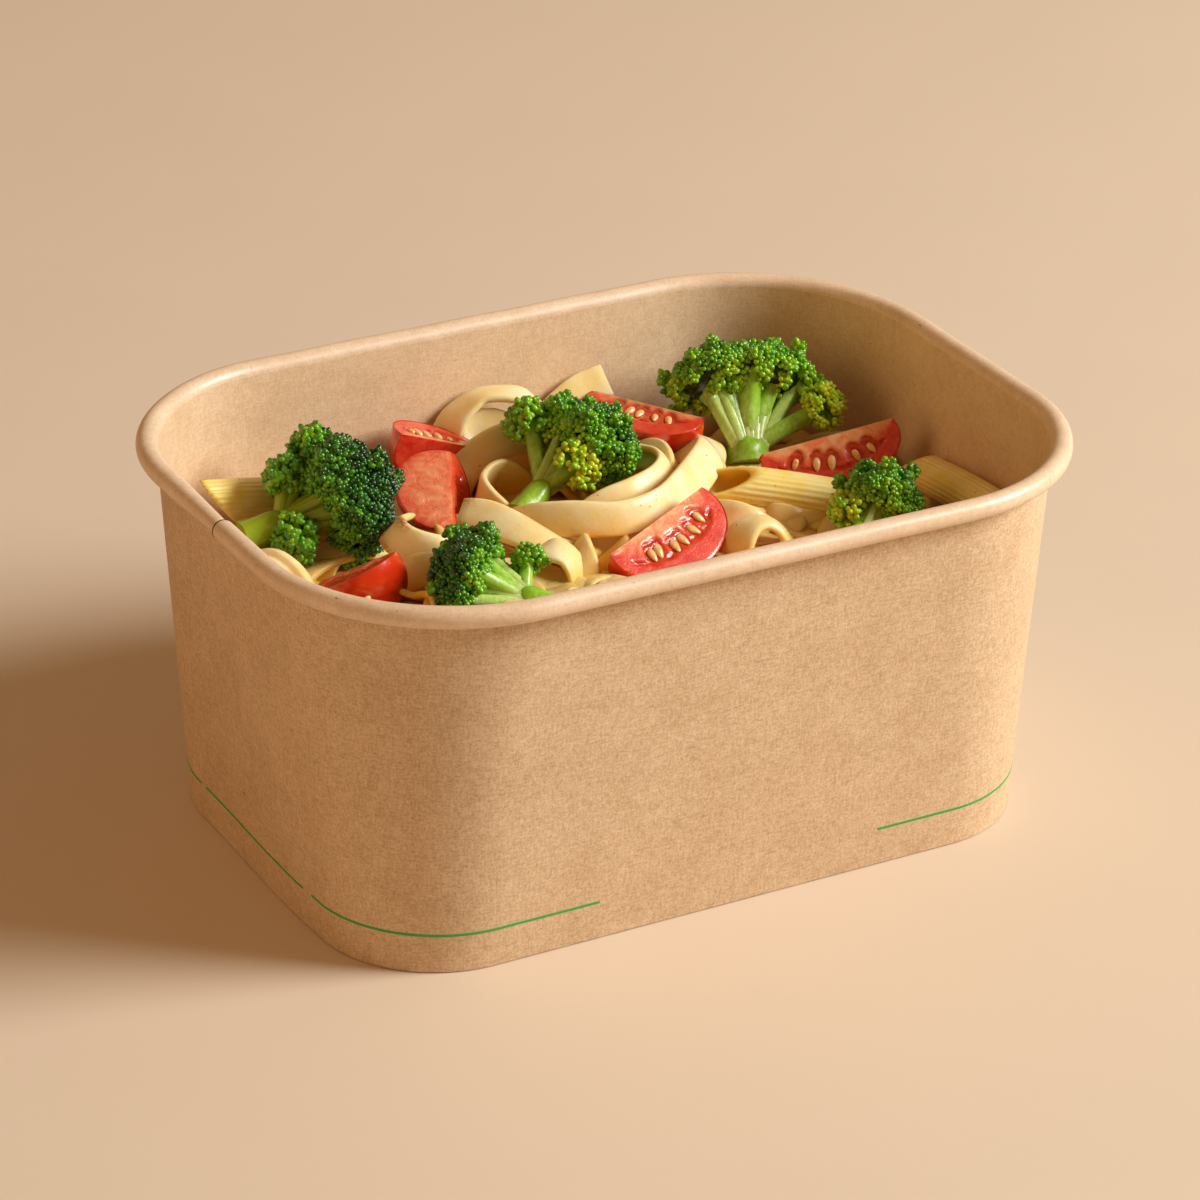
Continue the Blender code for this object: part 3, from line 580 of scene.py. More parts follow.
OUTER = kraft("kraft_outer", (0.79, 0.575, 0.37), (0.55, 0.36, 0.195), 0.72, 0.3)
INNER = kraft("kraft_inner", (0.82, 0.59, 0.375), (0.68, 0.455, 0.265), 0.5, 0.5)
# The rolled rim: a glossier board, painted lighter for the sheen along the rim.
RIM = kraft("kraft_rim_painted_sheen", (0.87, 0.65, 0.45), (0.75, 0.53, 0.345), 0.4, 0.6)
EDGE = kraft("kraft_edge", (0.52, 0.32, 0.16), (0.40, 0.22, 0.10), 0.85, 0.2)
# The pasta's third colour is the amber of painted shade.
PASTA = cooked_pasta("pasta_cooked", (0.97, 0.80, 0.45), (0.95, 0.71, 0.27), (0.84, 0.43, 0.012), 1.6)
# Penne: a more amber pasta, made lighter as painted light for tubes that lie in shade; its third colour is painted
# shade.
TUBES = cooked_pasta("penne_cooked", (1.0, 0.76, 0.27), (0.99, 0.66, 0.10), (0.94, 0.50, 0.01), 2.4)
BUD, STALK = broccoli_bud(), broccoli_stalk()
SKIN, FLESH, SEED = tomato_skin(), tomato_flesh(), tomato_seed()
PRINT = plain("print_green", (0.05, 0.37, 0.07), 0.6)
# A painted shadow: the dark line where the lap's edge lies over the board on the rim.
SHADOW = plain("lap_painted_shadow", (0.075, 0.035, 0.015), 0.9)


# The tub.

def wall_at(z):
    """At a height, the outer corner radius of the wall, and half its straight lengths along X and Y."""
    inset = RIM_ROLL - PAPER
    corner, half_x, half_y = (low + (high - inset - low) * z / (HEIGHT - RIM_ROLL / 2) for low, high in (
        (BASE_CORNER, RIM_CORNER), (BASE_LENGTH / 2, RIM_LENGTH / 2), (BASE_WIDTH / 2, RIM_WIDTH / 2)))
    return corner, half_x - corner, half_y - corner


def outline_point(line, offset, z):
    mx, my, angle = line
    radius, a, b = wall_at(z)
    radius += offset
    return Vector((mx * a + radius * math.cos(angle), my * b + radius * math.sin(angle), z))


def outline_lines(corner_steps, side_steps):
    """Upright lines round the tub, and how far each face of the lap stands out."""
    place, outers, inners = np.array((
        (1.0, 0.0, 0.0), (LAP_SETTLES, 0.0, 0.0), (LAP_EDGE + 0.004, PAPER, PAPER), (LAP_EDGE - 0.004, PAPER, 0.0),
        (LAP_EDGE - LAP_GAP, PAPER, 0.0), (LAP_THINS, PAPER, 0.0), (-1.0, 0.0, 0.0))).T
    lines = []
    corners = ((1, 1), (-1, 1), (-1, -1), (1, -1))
    for quarter, (mx, my) in enumerate(corners):
        for share in shares(corner_steps):
            lines.append(((mx, my, (quarter + share) * math.pi / 2), 0.0, 0.0))
        nx, ny = corners[(quarter + 1) % 4]
        along = shares(side_steps)[1:-1]
        lapped = quarter == 1
        if lapped:
            along = sorted({*along, *((1 - place[1:-1]) / 2).tolist()})
        for share in along:
            line = (mx + (nx - mx) * share, my + (ny - my) * share, (quarter + 1) * math.pi / 2)
            stands = [float(np.interp(2 * share - 1, -place, face)) if lapped else 0.0 for face in (outers, inners)]
            lines.append((line, *stands))
    return lines


def build_sleeve():
    """The sleeve's board with its rolled rim and its folded hem."""
    board_in, board_out, board_edge, lap_painted_shadow, rim_painted_sheen = range(5)
    centre = RIM_ROLL / 2 - PAPER
    top = HEIGHT - RIM_ROLL / 2
    turns = [math.radians(180 + (ROLL_END - 180) * share) for share in shares(22)]
    hem = -2 * (PAPER + GAP)
    heights = [top * share for share in shares(10)[:-1]]
    rings = []
    lines = outline_lines(22, 26)
    for line, outer, inner in lines:
        inside = RIM_ROLL / 2 - PAPER - outer
        outside = RIM_ROLL / 2 - inner
        section = [(outer, h, board_in) for h in heights]
        section += [(centre + inside * math.cos(t), top + inside * math.sin(t), board_in) for t in turns]
        section += [(centre + outside * math.cos(t), top + outside * math.sin(t), board_out)
                    for t in reversed(turns)]
        section += [(inner - PAPER, h, board_out) for h in reversed(heights) if h > PAPER]
        section += [(inner - PAPER, PAPER, board_out), (hem, PAPER, board_in), (hem, HEM_HEIGHT, board_edge),
                    (hem - PAPER, HEM_HEIGHT, board_out), (hem - PAPER, 0.0, board_in)]
        point = outline_point(line, 0.0, 0.0)
        wave = 0.10 * math.sin(point.x / 9.0 + point.y / 14.0) + 0.06 * math.sin(point.y / 6.5 - point.x / 11.0)
        ring = []
        for offset, z, kind in section:
            lift = abs(wave) * clamp(z / HEIGHT) ** 6
            ring.append(outline_point(line, offset - lift, z - lift))
        rings.append(ring)
    rows, columns = len(rings), len(section)
    quads = grid_faces(rows, columns, around=True, closed=True)
    row, column = quads[:, 0] // columns, quads[:, 0] % columns
    kinds = np.array([kind for offset, z, kind in section])[column]
    lap = next(k for k, item in enumerate(lines) if item[2] < 0.1 * PAPER and lines[k - 1][2] > 0.9 * PAPER)
    # The roll's outer face takes the rim's board, painted lighter for its sheen.
    roll = (column > len(heights)) & (column < len(heights) + 2 * len(turns) - 1) & (kinds == board_out)
    # The row at the lap's edge takes the painted shadow.
    kinds[roll] = np.where(row[roll] == lap, lap_painted_shadow, rim_painted_sheen)
    piece = Piece()
    piece.add(rings, quads[kinds == board_in])
    for kind in (board_out, board_edge, lap_painted_shadow, rim_painted_sheen):
        piece.add_faces(quads[kinds == kind], kind)
    piece.build("board_sleeve", [OUTER, INNER, EDGE, SHADOW, RIM], "paper", ["tub_sleeve"], sharp=50)


def build_print():
    """The thin printed line round the foot, broken where the photograph breaks it."""
    low, high, proud = LINE_LOW, LINE_HIGH, LINE_PROUD
    lines = outline_lines(40, 150)
    piece = Piece()
    for (line, outer, _), (after, outer_after, _) in zip(lines, lines[1:] + lines[:1]):
        middle = (outline_point(line, outer, low) + outline_point(after, outer_after, low)) / 2
        front = middle.y < -40 and -28.6 < middle.x < 33.0
        left = middle.x < -60 and (23.0 < middle.y < 25.0 or -25.0 < middle.y < -22.0)
        if front or left:
            continue
        rows = []
        for at, stand in ((line, outer), (after, outer_after)):
            rows += [outline_point(at, stand, low), outline_point(at, stand + proud, low + proud),
                     outline_point(at, stand + proud, high - proud), outline_point(at, stand, high)]
        piece.add(rows, [(0, 4, 5, 1), (1, 5, 6, 2), (2, 6, 7, 3)])
    piece.build("print_line", [PRINT], "paper")


def keep_base():
    """The base panel keeps its solid, in the same board."""
    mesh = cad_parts["tub_base"].data
    mesh.materials.clear()
    mesh.materials.append(INNER)


# The pasta.

def core_height(x, y):
    dome = 1 - (2 * x / RIM_LENGTH) ** 2 - (2 * y / RIM_WIDTH) ** 2
    wave = math.sin(x / 6.5 + 0.7) * math.cos(y / 5.5) + 0.6 * math.sin(x / 3.7 - y / 4.9)
    return CORE_LEVEL + CORE_CROWN * dome + CORE_WAVE * wave


def kept_in(x, y, z, margin):
    """The nearest place to (x, y) that lies inside the tub's wall by a margin."""
    radius, a, b = wall_at(z)
    radius -= PAPER
    dx = math.copysign(max(abs(x) - a, 0.0), x)
    dy = math.copysign(max(abs(y) - b, 0.0), y)
    out = math.hypot(dx, dy)
    if out <= radius - margin:
        return x, y
    share = (radius - margin) / out
    return x - dx * (1 - share), y - dy * (1 - share)


def smooth_course(points, spacing):
    points = [Vector(point) for point in points]
    points = [2 * points[0] - points[1], *points, 2 * points[-1] - points[-2]]
    course = []
    for a, b, c, d in zip(points, points[1:], points[2:], points[3:]):
        for t in shares(max(1, round((c - b).xyz.length / spacing)))[:-1]:
            course.append(0.5 * (2 * b + (c - a) * t + (2 * a - 5 * b + 4 * c - d) * t ** 2
                                 + (3 * b - 3 * c + d - a) * t ** 3))
    return [*course, points[-2]]


def band_frames(course):
    """For each point of a course, its place, the direction across the band and the one out of its face."""
    frames = []
    for i, point in enumerate(course):
        along = (course[min(i + 2, len(course) - 1)] - course[max(i - 2, 0)]).xyz.normalized()
        level, rise = sides_of(along)
        lean = math.radians(point.w)
        across = math.cos(lean) * level + math.sin(lean) * rise
        frames.append((point.xyz, across, along.cross(across)))
    return frames


def band_profile(half, thick, spans):
    """A flat band's section with round edges, anticlockwise."""
    flat = half - thick
    points = []
    for side, start in ((1, -90), (-1, 90)):
        for step in range(5):
            angle = math.radians(start + 45 * step)
            points.append((side * flat + thick * math.cos(angle), thick * math.sin(angle)))
        for share in shares(spans)[1:-1]:
            points.append((side * flat * (1 - 2 * share), side * thick))
    return points


def add_ribbon(piece, points, draw, spacing=1.25, browned=None, flutes=0.0):
    """A cooked ribbon: a flat band with round edges, a little cupped and uneven along its length.

    browned is where along it the edges are singed and how far, flutes how high its lengthwise ridges are.
    """
    course = smooth_course(points, spacing)
    for point in course:
        reach = 0.8 + RIBBON_WIDTH / 2 * math.cos(math.radians(point.w) * 0.9)
        point.x, point.y = kept_in(point.x, point.y, point.z - 3, reach)
    count = len(course)
    phase = [draw.uniform(0, ANY_PHASE) for k in range(4)]
    cup = draw.uniform(-0.5, 0.5)
    half = RIBBON_WIDTH / 2
    profile = band_profile(half, RIBBON_THICKNESS / 2, 12 if flutes else 4)
    rows, tones, masks = [], [], []
    for i, (middle, across, up) in enumerate(band_frames(course)):
        run = i * spacing
        wide = 1 + 0.05 * math.sin(run / 9 + phase[0])
        thick = 1 + 0.12 * math.sin(run / 6.5 + phase[1])
        bend = cup * (0.6 + 0.4 * math.sin(run / 11 + phase[2]))
        ripple = 0.28 * math.sin(run / 4.6 + phase[3])
        left = min(i, count - 1 - i) * spacing
        taper = min(1.0, 0.55 + 0.45 * left / 1.2)
        brown = max(0.0, 1 - abs(run - browned[0]) / browned[1]) if browned else 0.0
        for x, y in profile:
            share = x / half
            lift = bend * (share * share - 0.35) + ripple * share * abs(share) + flutes * math.cos(10 * share)
            point = middle + across * x * wide + up * (y * thick * taper + lift)
            rows.append(point)
            masks.append(min(brown * 1.5 * share * share, 1.0))
            # The tone paints shade: amber deeper in the heap and on faces turned away from the top.
            shade = 0.55 * (0.92 - up.z * (1 if y > 0 else -1))
            tones.append(clamp((core_height(point.x, point.y) + 7.0 - point.z) / 8 + shade))
    sides = len(profile)
    piece.add(rows, grid_faces(count, sides, around=True), tone=tones, mask=masks)
    piece.add(rows[:sides], fan(sides, True), mask=masks[0])
    piece.add(rows[-sides:], fan(sides), mask=masks[-sides])


def turn_course(x, y, z, radius, start, sweep):
    """A loose turn of ribbon round a place, with its ends down in the heap."""
    points = []
    for share in shares(max(4, round(abs(sweep) / 36))):
        angle = math.radians(start + sweep * share)
        reach = radius * (1 - 0.25 * share)
        height = z - 4 * (2 * share - 1) ** 4 + 1.6 * math.sin(3 * angle + x)
        lean = 38 * math.sin(math.pi * share)
        points.append((x + reach * math.cos(angle), y + reach * math.sin(angle), height, lean))
    return points


def under_toppings(x, y, z):
    """The height at which a ribbon passes below the tomato over it, on the bed."""
    for corners in WEDGES.values():
        middle = sum((Vector(corner) for corner in corners[:3]), Vector()) / 3
        if math.hypot(x - middle.x, y - middle.y) < TOPPING_REACH:
            z = min(z, min(corner[2] for corner in corners[:3]) - TOPPING_CLEAR)
    return max(z, core_height(x, y) + 0.5)


def filler_courses(count, draw):
    """Courses of the ribbons that lie lower in the heap, spread evenly over it."""
    courses = []
    for k in range(count):
        # Steps of the plastic number's powers spread points evenly over a square.
        x = ((k * 0.754877666 + 0.13) % 1.0 - 0.5) * FILLER_FIELD[0]
        y = ((k * 0.569840291 + 0.57) % 1.0 - 0.5) * FILLER_FIELD[1]
        radius = draw.uniform(9, 20)
        start = draw.uniform(0, 360)
        sweep = draw.choice((-1, 1)) * draw.uniform(120, 260)
        level = draw.uniform(0.4, 3.4)
        lean = draw.uniform(-16, 20)
        phase = draw.uniform(0, ANY_PHASE)
        points = []
        for share in shares(max(4, round(abs(sweep) / 30))):
            angle = math.radians(start + sweep * share)
            reach = radius * (1 - 0.2 * share)
            px, py = kept_in(x + reach * math.cos(angle), y + reach * math.sin(angle), 45, 5.0)
            pz = core_height(px, py) + level + 0.8 * math.sin(2.5 * angle + phase)
            pz = under_toppings(px, py, pz) - 5.0 * (2 * share - 1) ** 4
            points.append((px, py, pz, lean * math.sin(math.pi * share)))
        courses.append(points)
    return courses


def build_pasta():
    draw = random.Random("ribbons")
    shown = Piece()
    for number, points in enumerate(RIBBONS):
        add_ribbon(shown, points, draw, 1.1, BROWNED.get(number), FLUTE_HEIGHT if number in FLUTED else 0.0)
    for turn in TURNS:
        add_ribbon(shown, turn_course(*turn), draw)
    shown.build("ribbons", [PASTA], "pasta", ["pasta"])
    under = Piece()
    for points in filler_courses(FILLERS, draw):
        add_ribbon(under, points, draw, 1.5)
    under.build("ribbons_under", [PASTA], "pasta")


def build_core():
    """The middle of the heap, seen only between the ribbons."""
    lines = [line for line, outer, inner in outline_lines(12, 12)]
    foot, edge = ([outline_point(line, -PAPER - GAP, z) for line in lines] for z in (CORE_FLOOR, CORE_LEVEL - 2))
    rings = [foot, edge]
    steps = 26
    for step in range(1, steps + 1):
        share = max(1 - step / steps, 0.001)
        ring = []
        for point in edge:
            x, y = point.x * share, point.y * share
            relief = 0.7 * math.sin(x / 1.9 + 2 * math.sin(y / 4.1)) * math.cos(y / 2.3 + math.sin(x / 5.2))
            ring.append(Vector((x, y, core_height(x, y) - 1.2 + relief)))
        rings.append(ring)
    piece = Piece()
    # The bed's tone paints it halfway to the amber of the heap's shade.
    piece.add(rings, grid_faces(len(rings), len(lines), around=True), tone=0.5)
    piece.add(foot, fan(len(lines), True))
    piece.build("pasta_bed", [PASTA], "pasta")


def build_penne(name, start, end, cut_side):
    """A ridged tube with both ends cut at a slant."""
    start, end = Vector(start), Vector(end)
    along = (end - start).normalized()
    level, rise = sides_of(along)
    sides, lengths, ridges = 96, 18, 24
    slant = PENNE_SLANTS.get(name, PENNE_SLANT)
    wide = PENNE_RADII.get(name, PENNE_RADIUS)
    inner = wide - PENNE_WALL

    def ring(share, radius, shift=0.0, groove=0.0):
        middle = start.lerp(end, share) + 0.5 * math.sin(math.pi * share) * rise
        lean = (slant + (PENNE_SLANT - slant) * share) * radius
        rows = []
        for k in range(sides):
            angle = math.tau * k / sides
            reach = radius + groove * (math.cos(ridges * angle) - 1)
            cut = lean * math.cos(angle - math.radians(cut_side)) + shift
            rows.append(middle + cut * along + reach * (math.cos(angle) * level + math.sin(angle) * rise))
        return rows

    rings = [ring(share, wide, 0.0, 0.13) for share in shares(lengths)]
    rings += [ring(1, wide - 0.35, 0.12), ring(1, inner + 0.3, 0.1)]
    rings += [ring(1 - share, inner) for share in shares(6)]
    rings += [ring(0, inner + 0.3, -0.1), ring(0, wide - 0.35, -0.12)]
    # The bore's tone paints the shade inside the tube amber.
    tones = [0.0] * (lengths + 2) + [0.9] * 9 + [0.0]
    piece = Piece()
    piece.add(rings, grid_faces(len(rings), sides, around=True, closed=True), tone=np.repeat(tones, sides))
    piece.build(name.replace("penne", "ridged_penne"), [TUBES], "pasta", [name])


# The tomato wedges.

def cut_relief(u, turn, near, face, phase):
    """How deep a place on a cut face lies, how wet it is and how pale.

    u is its share of the way to the skin, turn its angle round the inner edge, near how far the nearest seed is.
    """
    count, band_low, band_high, pale = face
    high = band_high + 0.035 * math.sin(4.3 * turn + phase) + 0.012 * math.sin(17 * turn)
    low = high - (0.13 if count else 0.30)
    gel = 0.0
    if count is not None:
        gel = max(clamp((u - low) / 0.05), clamp((1.75 - near) / 0.35))
        gel *= clamp((high - u) / 0.045) * clamp((1.20 - abs(turn)) / 0.16)
        gel = gel * gel * (3 - 2 * gel)
    warp = 1.6 * math.sin(5 * u + phase) + 0.9 * math.sin(3.1 * turn + 2 * phase)
    fingers = math.cos(turn * 12 + warp) * math.sin(math.pi * min(u / 0.6, 1))
    meniscus = math.exp(-((near - 1.12) / 0.22) ** 2)
    depth = gel * (0.66 - 0.34 * meniscus) + 0.06 * (1 - gel) * fingers + 0.30 * clamp((u - 0.94) / 0.06) ** 2
    if count is None:
        streaks = 0.07 * math.cos(27 * turn + 3 * u + 2 * warp)
        heart = 0.80 + 0.12 * fingers + streaks - 1.4 * max(0.0, u - 0.6)
    else:
        heart = max(0.0, 1 - u / 0.55)
    # The face's paleness scales the heart; on a face in shade it is painted light.
    return depth, gel, pale * heart


def build_wedge(name, start, end, outer, angle, draw):
    """A wedge: glossy skin outside and two cut faces with their gel, seeds and pale heart."""
    start, end = Vector(start), Vector(end)
    along = (end - start).normalized()
    out = Vector(outer) - (start + end) / 2
    out -= out.dot(along) * along
    rows, columns, skin_rows = 34, 72, 20
    arcs = np.linspace(-WEDGE_ARC, WEDGE_ARC, columns + 1).tolist()
    pebble, pebble_faces = sphere(2)

    def swung(share):
        return Matrix.Rotation(math.radians(angle) * share, 3, along) @ out

    def rim(turn, ray):
        """The skin's edge at an angle round the wedge's inner edge, and the foot of that angle."""
        share = (turn / WEDGE_ARC + 1) / 2
        reach = (math.cos(turn) - math.cos(WEDGE_ARC)) / (1 - math.cos(WEDGE_ARC))
        at = 0.5 + math.sin(turn) / (2 * math.sin(WEDGE_ARC))
        return start.lerp(end, share), start.lerp(end, at) + reach * (1 + WEDGE_SKEW * (share - 0.5)) * ray

    piece = Piece()
    rays = [swung(0.0), swung(1.0)]
    for number, ray in enumerate(rays):
        other = rays[1 - number]
        into = (other - other.project(ray)).normalized()
        face = FACES[name][number]
        count, band_low, band_high, _ = face
        seeds = []
        swing = draw.uniform(-0.10, 0.10)
        cells = max(count or 5, 3)
        for k in range(cells):
            turn = 1.8 * ((k + 0.5) / cells - 0.5) + swing + draw.uniform(-0.08, 0.08)
            foot, edge = rim(turn, ray)
            axis = ((edge - foot).normalized() + jitter(draw, 0.15)).normalized()
            centre = foot.lerp(edge, band_low + (band_high - band_low) * draw.uniform(0.22, 0.48))
            big = min(1.0, (edge - foot).length / 11.5)
            seeds.append((centre, axis, big * draw.uniform(0.88, 1.12), draw.uniform(0.34, 0.60)))
        spots = np.array([seed[0] for seed in seeds])
        axes = np.array([seed[1] for seed in seeds])
        across = np.cross(axes, np.array(into))
        phase = draw.uniform(0, 6)
        points, gels, hearts = [], [], []
        for r, u in enumerate(shares(rows)):
            for c, turn in enumerate(arcs):
                foot, edge = rim(turn, ray)
                point = foot.lerp(edge, u)
                away = np.array(point) - spots
                near = np.hypot((away * axes).sum(1) / 1.9, (away * across).sum(1) / 1.15).min()
                depth, gel, heart = cut_relief(u, turn, near, face, phase)
                if r == 0 or c in (0, columns):
                    depth = 0.0
                points.append(point + into * depth)
                gels.append(gel)
                hearts.append(heart)
        faces = grid_faces(rows + 1, columns + 1)
        flip = (number == 1) != (angle < 0)
        piece.add(points, faces[:, ::-1] if flip else faces, 1, mask=gels, edge=hearts)
        for centre, axis, big, deep in seeds[:count or 0]:
            side = axis.cross(into).normalized()
            basis = np.array((axis * 1.6 * big, side * 0.80 * big, into * 0.55))
            shaped = pebble * np.where([True, False, False], 1, 1 - 0.30 * pebble[:, :1])
            piece.add(shaped @ basis + np.array(centre + into * deep), pebble_faces, 2)

    points = []
    for share in shares(skin_rows):
        ray = swung(share)
        points += [rim(turn, ray)[1] for turn in arcs]
    faces = grid_faces(skin_rows + 1, columns + 1)
    piece.add(points, faces if angle < 0 else faces[:, ::-1])
    piece.build(name.replace("tomato", "tomato_cut"), [SKIN, FLESH, SEED], "tomato", [name])


# The broccoli.

def crown_clusters(radii, count, draw):
    """The round clusters of a crown's solid, as (centre, radius) from the crown's middle."""
    clusters = []
    for ray in spread_rays(count, 115):
        radius = sum(radii) / 3 * CLUSTER_SHARE * draw.uniform(0.85, 1.15)
        clusters.append((Vector([ray[k] * max(radii[k] - radius, 0.0) for k in range(3)]), radius))
    return clusters


def spread_rays(count, limit, turn=0.0, start=0.0):
    """Directions spread evenly round +Z between two angles from it, in degrees."""
    top = 1 - math.cos(math.radians(start))
    whole = 1 - math.cos(math.radians(limit))
    rays = []
    for i in range(count):
        polar = math.acos(1 - top - (whole - top) * (i + 0.5) / count)
        angle = i * GOLDEN_TURN + turn
        out = math.sin(polar)
        rays.append(Vector((out * math.cos(angle), out * math.sin(angle), math.cos(polar))))
    return rays


def toward(axis):
    """A turn that takes +Z to an axis."""
    return axis.to_track_quat("Z", "Y").to_matrix()


Rosette = namedtuple("Rosette", "centre radius direction tone loose")


class Floret:
    """A floret: a stalk that branches, rosettes of buds over the crown, and looser fingers of buds."""

    def __init__(self, name):
        self.name = name
        crown, foot, self.stalk, radii, count, self.extra = FLORETS[name]
        self.crown, self.foot = Vector(crown), Vector(foot)
        self.axis = (self.crown - self.foot).normalized()
        self.frame = Matrix((*sides_of(self.axis), self.axis)).transposed()
        self.clusters = crown_clusters(radii, count, random.Random(name))
        self.heart = Vector(radii) * HEART_SHARE
        self.size = sum(radii) / 3
        bare, bare_angle, self.bare_count = BARE[name]
        self.bare, self.bare_angle = Vector(bare).normalized(), math.radians(bare_angle)
        self.fork = self.foot.lerp(self.crown, FORKS.get(name, 0.36))
        # light is partly painted light and shade, laid into all the floret's buds.
        self.light, self.olive = SHADES[name]
        self.draw = random.Random(name + "buds")
        self.rosettes, self.lobes, self.fans = [], [], []
        self.stems = Piece()

    def surface(self, ray, clustered=True):
        """Where a ray from the crown's middle leaves the crown, and which way the crown faces there."""
        heart = self.heart
        reach = 1 / math.sqrt(sum((ray[k] / heart[k]) ** 2 for k in range(3)))
        facing = Vector([ray[k] / heart[k] ** 2 for k in range(3)]).normalized()
        for centre, radius in self.clusters if clustered else ():
            near = ray.dot(centre)
            within = near ** 2 - centre.length_squared + radius ** 2
            if within > 0 and near + math.sqrt(within) > reach:
                reach = near + math.sqrt(within)
                facing = (ray * reach - centre) / radius
        return ray * reach, facing

    def out(self, point, share=1.0):
        """A point of the crown's own frame, drawn in to a share of its way out."""
        return self.crown + self.frame @ point * share

    def clear(self, ray):
        """The angle from the edge of the bare side, below 0 inside it."""
        return (self.frame @ ray).angle(self.bare) - self.bare_angle

    def hollow(self, ray):
        """How far out the crown's middle, painted dark as the shade between the buds, reaches."""
        return min(0.83, 0.40 + 0.43 * max(self.clear(ray) + 0.35, 0.0) / 0.5)

    def grow(self, *rosette):
        self.rosettes.append(Rosette(*rosette))

    def cover_crown(self):
        """Rosettes over the crown, small ones deep in its bare side, and some underneath."""
        draw, light = self.draw, self.light
        pitch = HIDDEN_PITCH if "near" in self.name else PITCH
        area = math.tau * self.size ** 2 * (1 - math.cos(math.radians(CROWN_LIMIT)))
        outer = round(area / (HEX_AREA * pitch ** 2))
        for ray in spread_rays(outer, CROWN_LIMIT, draw.uniform(0, 6)):
            ray = (ray + jitter(draw, 0.05)).normalized()
            point, facing = self.surface(ray)
            clear = self.clear(ray)
            if clear < 0:
                direction = (self.frame @ ray + 0.4 * self.axis + jitter(draw, 0.35)).normalized()
                centre = self.out(point, self.hollow(ray))
                self.grow(centre, pitch * draw.uniform(0.36, 0.5), direction, 0.30 + light, True)
                continue
            direction = self.frame @ (facing * 0.75 + ray * 0.45).normalized()
            radius = pitch * 0.56 * draw.uniform(0.86, 1.14)
            if draw.random() < 0.2:
                small = draw.uniform(1.05, 1.4)
                head = self.out(point) + direction * draw.uniform(0.0, 1.1)
                head.z = min(head.z, BUD_TOP - small)
                self.grow(head, small, (direction + jitter(draw, 0.25)).normalized(), 0.14 + light, True)
            below = clamp((ray.angle(UP) - math.radians(62)) / math.radians(45))
            below = max(below, 1.0 - clear / math.radians(24))
            centre = self.out(point) - direction * (radius - draw.uniform(-0.25, 0.45))
            self.grow(centre, radius, direction, 0.08 + light + 0.36 * below ** 1.5, False)
        for ray in spread_rays(round(outer * 0.34), 150, draw.uniform(0, 6), 108):
            centre = self.out(self.surface(ray, False)[0], self.hollow(ray))
            direction = self.frame @ (ray + jitter(draw, 0.3)).normalized()
            self.grow(centre, pitch * 0.46 * draw.uniform(0.8, 1.1), direction, 0.45 + light, False)

    def add_lobes(self):
        """Looser crowns at the side, some of them yellowed."""
        draw = self.draw
        for k, (*centre, radius) in enumerate(self.extra):
            centre = Vector(centre)
            way = (centre - self.fork).normalized()
            self.lobes.append((centre, radius, way))
            tone = 0.80 if k in YELLOWED.get(self.name, ()) else 0.40 + 0.5 * self.light
            for ray in spread_rays(round(19 * (radius / 4.6) ** 2), 138, draw.uniform(0, 6)):
                direction = toward(way) @ (ray + jitter(draw, 0.16)).normalized()
                small = draw.uniform(0.95, 1.3)
                head = centre + direction * (radius - small - draw.uniform(-0.45, 0.75))
                self.grow(head, small, direction, tone, True)

    def add_fans(self):
        """Branches that fan out under the bare side, each with a few small rosettes at its end."""
        draw, axis, bare = self.draw, self.axis, self.bare
        side = axis.cross(bare).normalized()
        for k in range(self.bare_count):
            swing = math.radians(FAN_SPREAD) * ((k + 0.5) / self.bare_count - 0.5) + draw.uniform(-0.09, 0.09)
            way = math.cos(swing) * axis + math.sin(swing) * side
            point = self.surface(self.frame.transposed() @ way)[0]
            tip = self.out(point, draw.uniform(0.66, 0.80)) + bare * self.size * draw.uniform(0.14, 0.26)
            self.fans.append((tip, way, draw.uniform(0.8, 1.25)))
            for m in range(FAN_ROSETTES):
                centre = tip + (side * draw.uniform(-2.6, 2.6) + way * draw.uniform(-1.2, 3.0)
                                + bare * draw.uniform(-0.8, 1.0))
                direction = (way + 0.8 * bare + jitter(draw, 0.5)).normalized()
                self.grow(centre, draw.uniform(0.95, 1.4), direction, 0.30 + self.light, True)

    def buds(self):
        """The buds of all rosettes, but for those that would lie inside another rosette."""
        draw = self.draw
        rounds = np.array([(*rosette.centre, rosette.radius) for rosette in self.rosettes])
        buds = []
        for number, (centre, radius, direction, base, loose) in enumerate(self.rosettes):
            bead, limit = LOOSE_BUD if loose else TIGHT_BUD
            area = math.tau * radius ** 2 * (1 - math.cos(math.radians(limit)))
            count = max(4, round(area / (HEX_AREA * (bead * 1.72) ** 2)))
            basis = toward(direction)
            for ray in spread_rays(count, limit, draw.uniform(0, 6)):
                way = (basis @ ray + jitter(draw, 0.16)).normalized()
                spot = centre + way * (radius - 0.3 * bead + draw.uniform(-0.12, 0.18))
                gaps = np.linalg.norm(rounds[:, :3] - np.array(spot), axis=1) - rounds[:, 3]
                gaps[number] = 1.0
                if gaps.min() < -0.75 * bead:
                    continue
                tone = base + draw.uniform(-0.12, 0.14) + 0.16 * (1 - max(way.dot(direction), 0))
                stem = min(tone + (0.55 if loose else 0.34), 1.0)
                stretch = draw.uniform(1.15, 1.75) if loose else draw.uniform(1.0, 1.4)
                buds.append((spot, bead * draw.uniform(0.78, 1.22), way, stretch, draw.uniform(0, 6), tone, stem))
        return buds

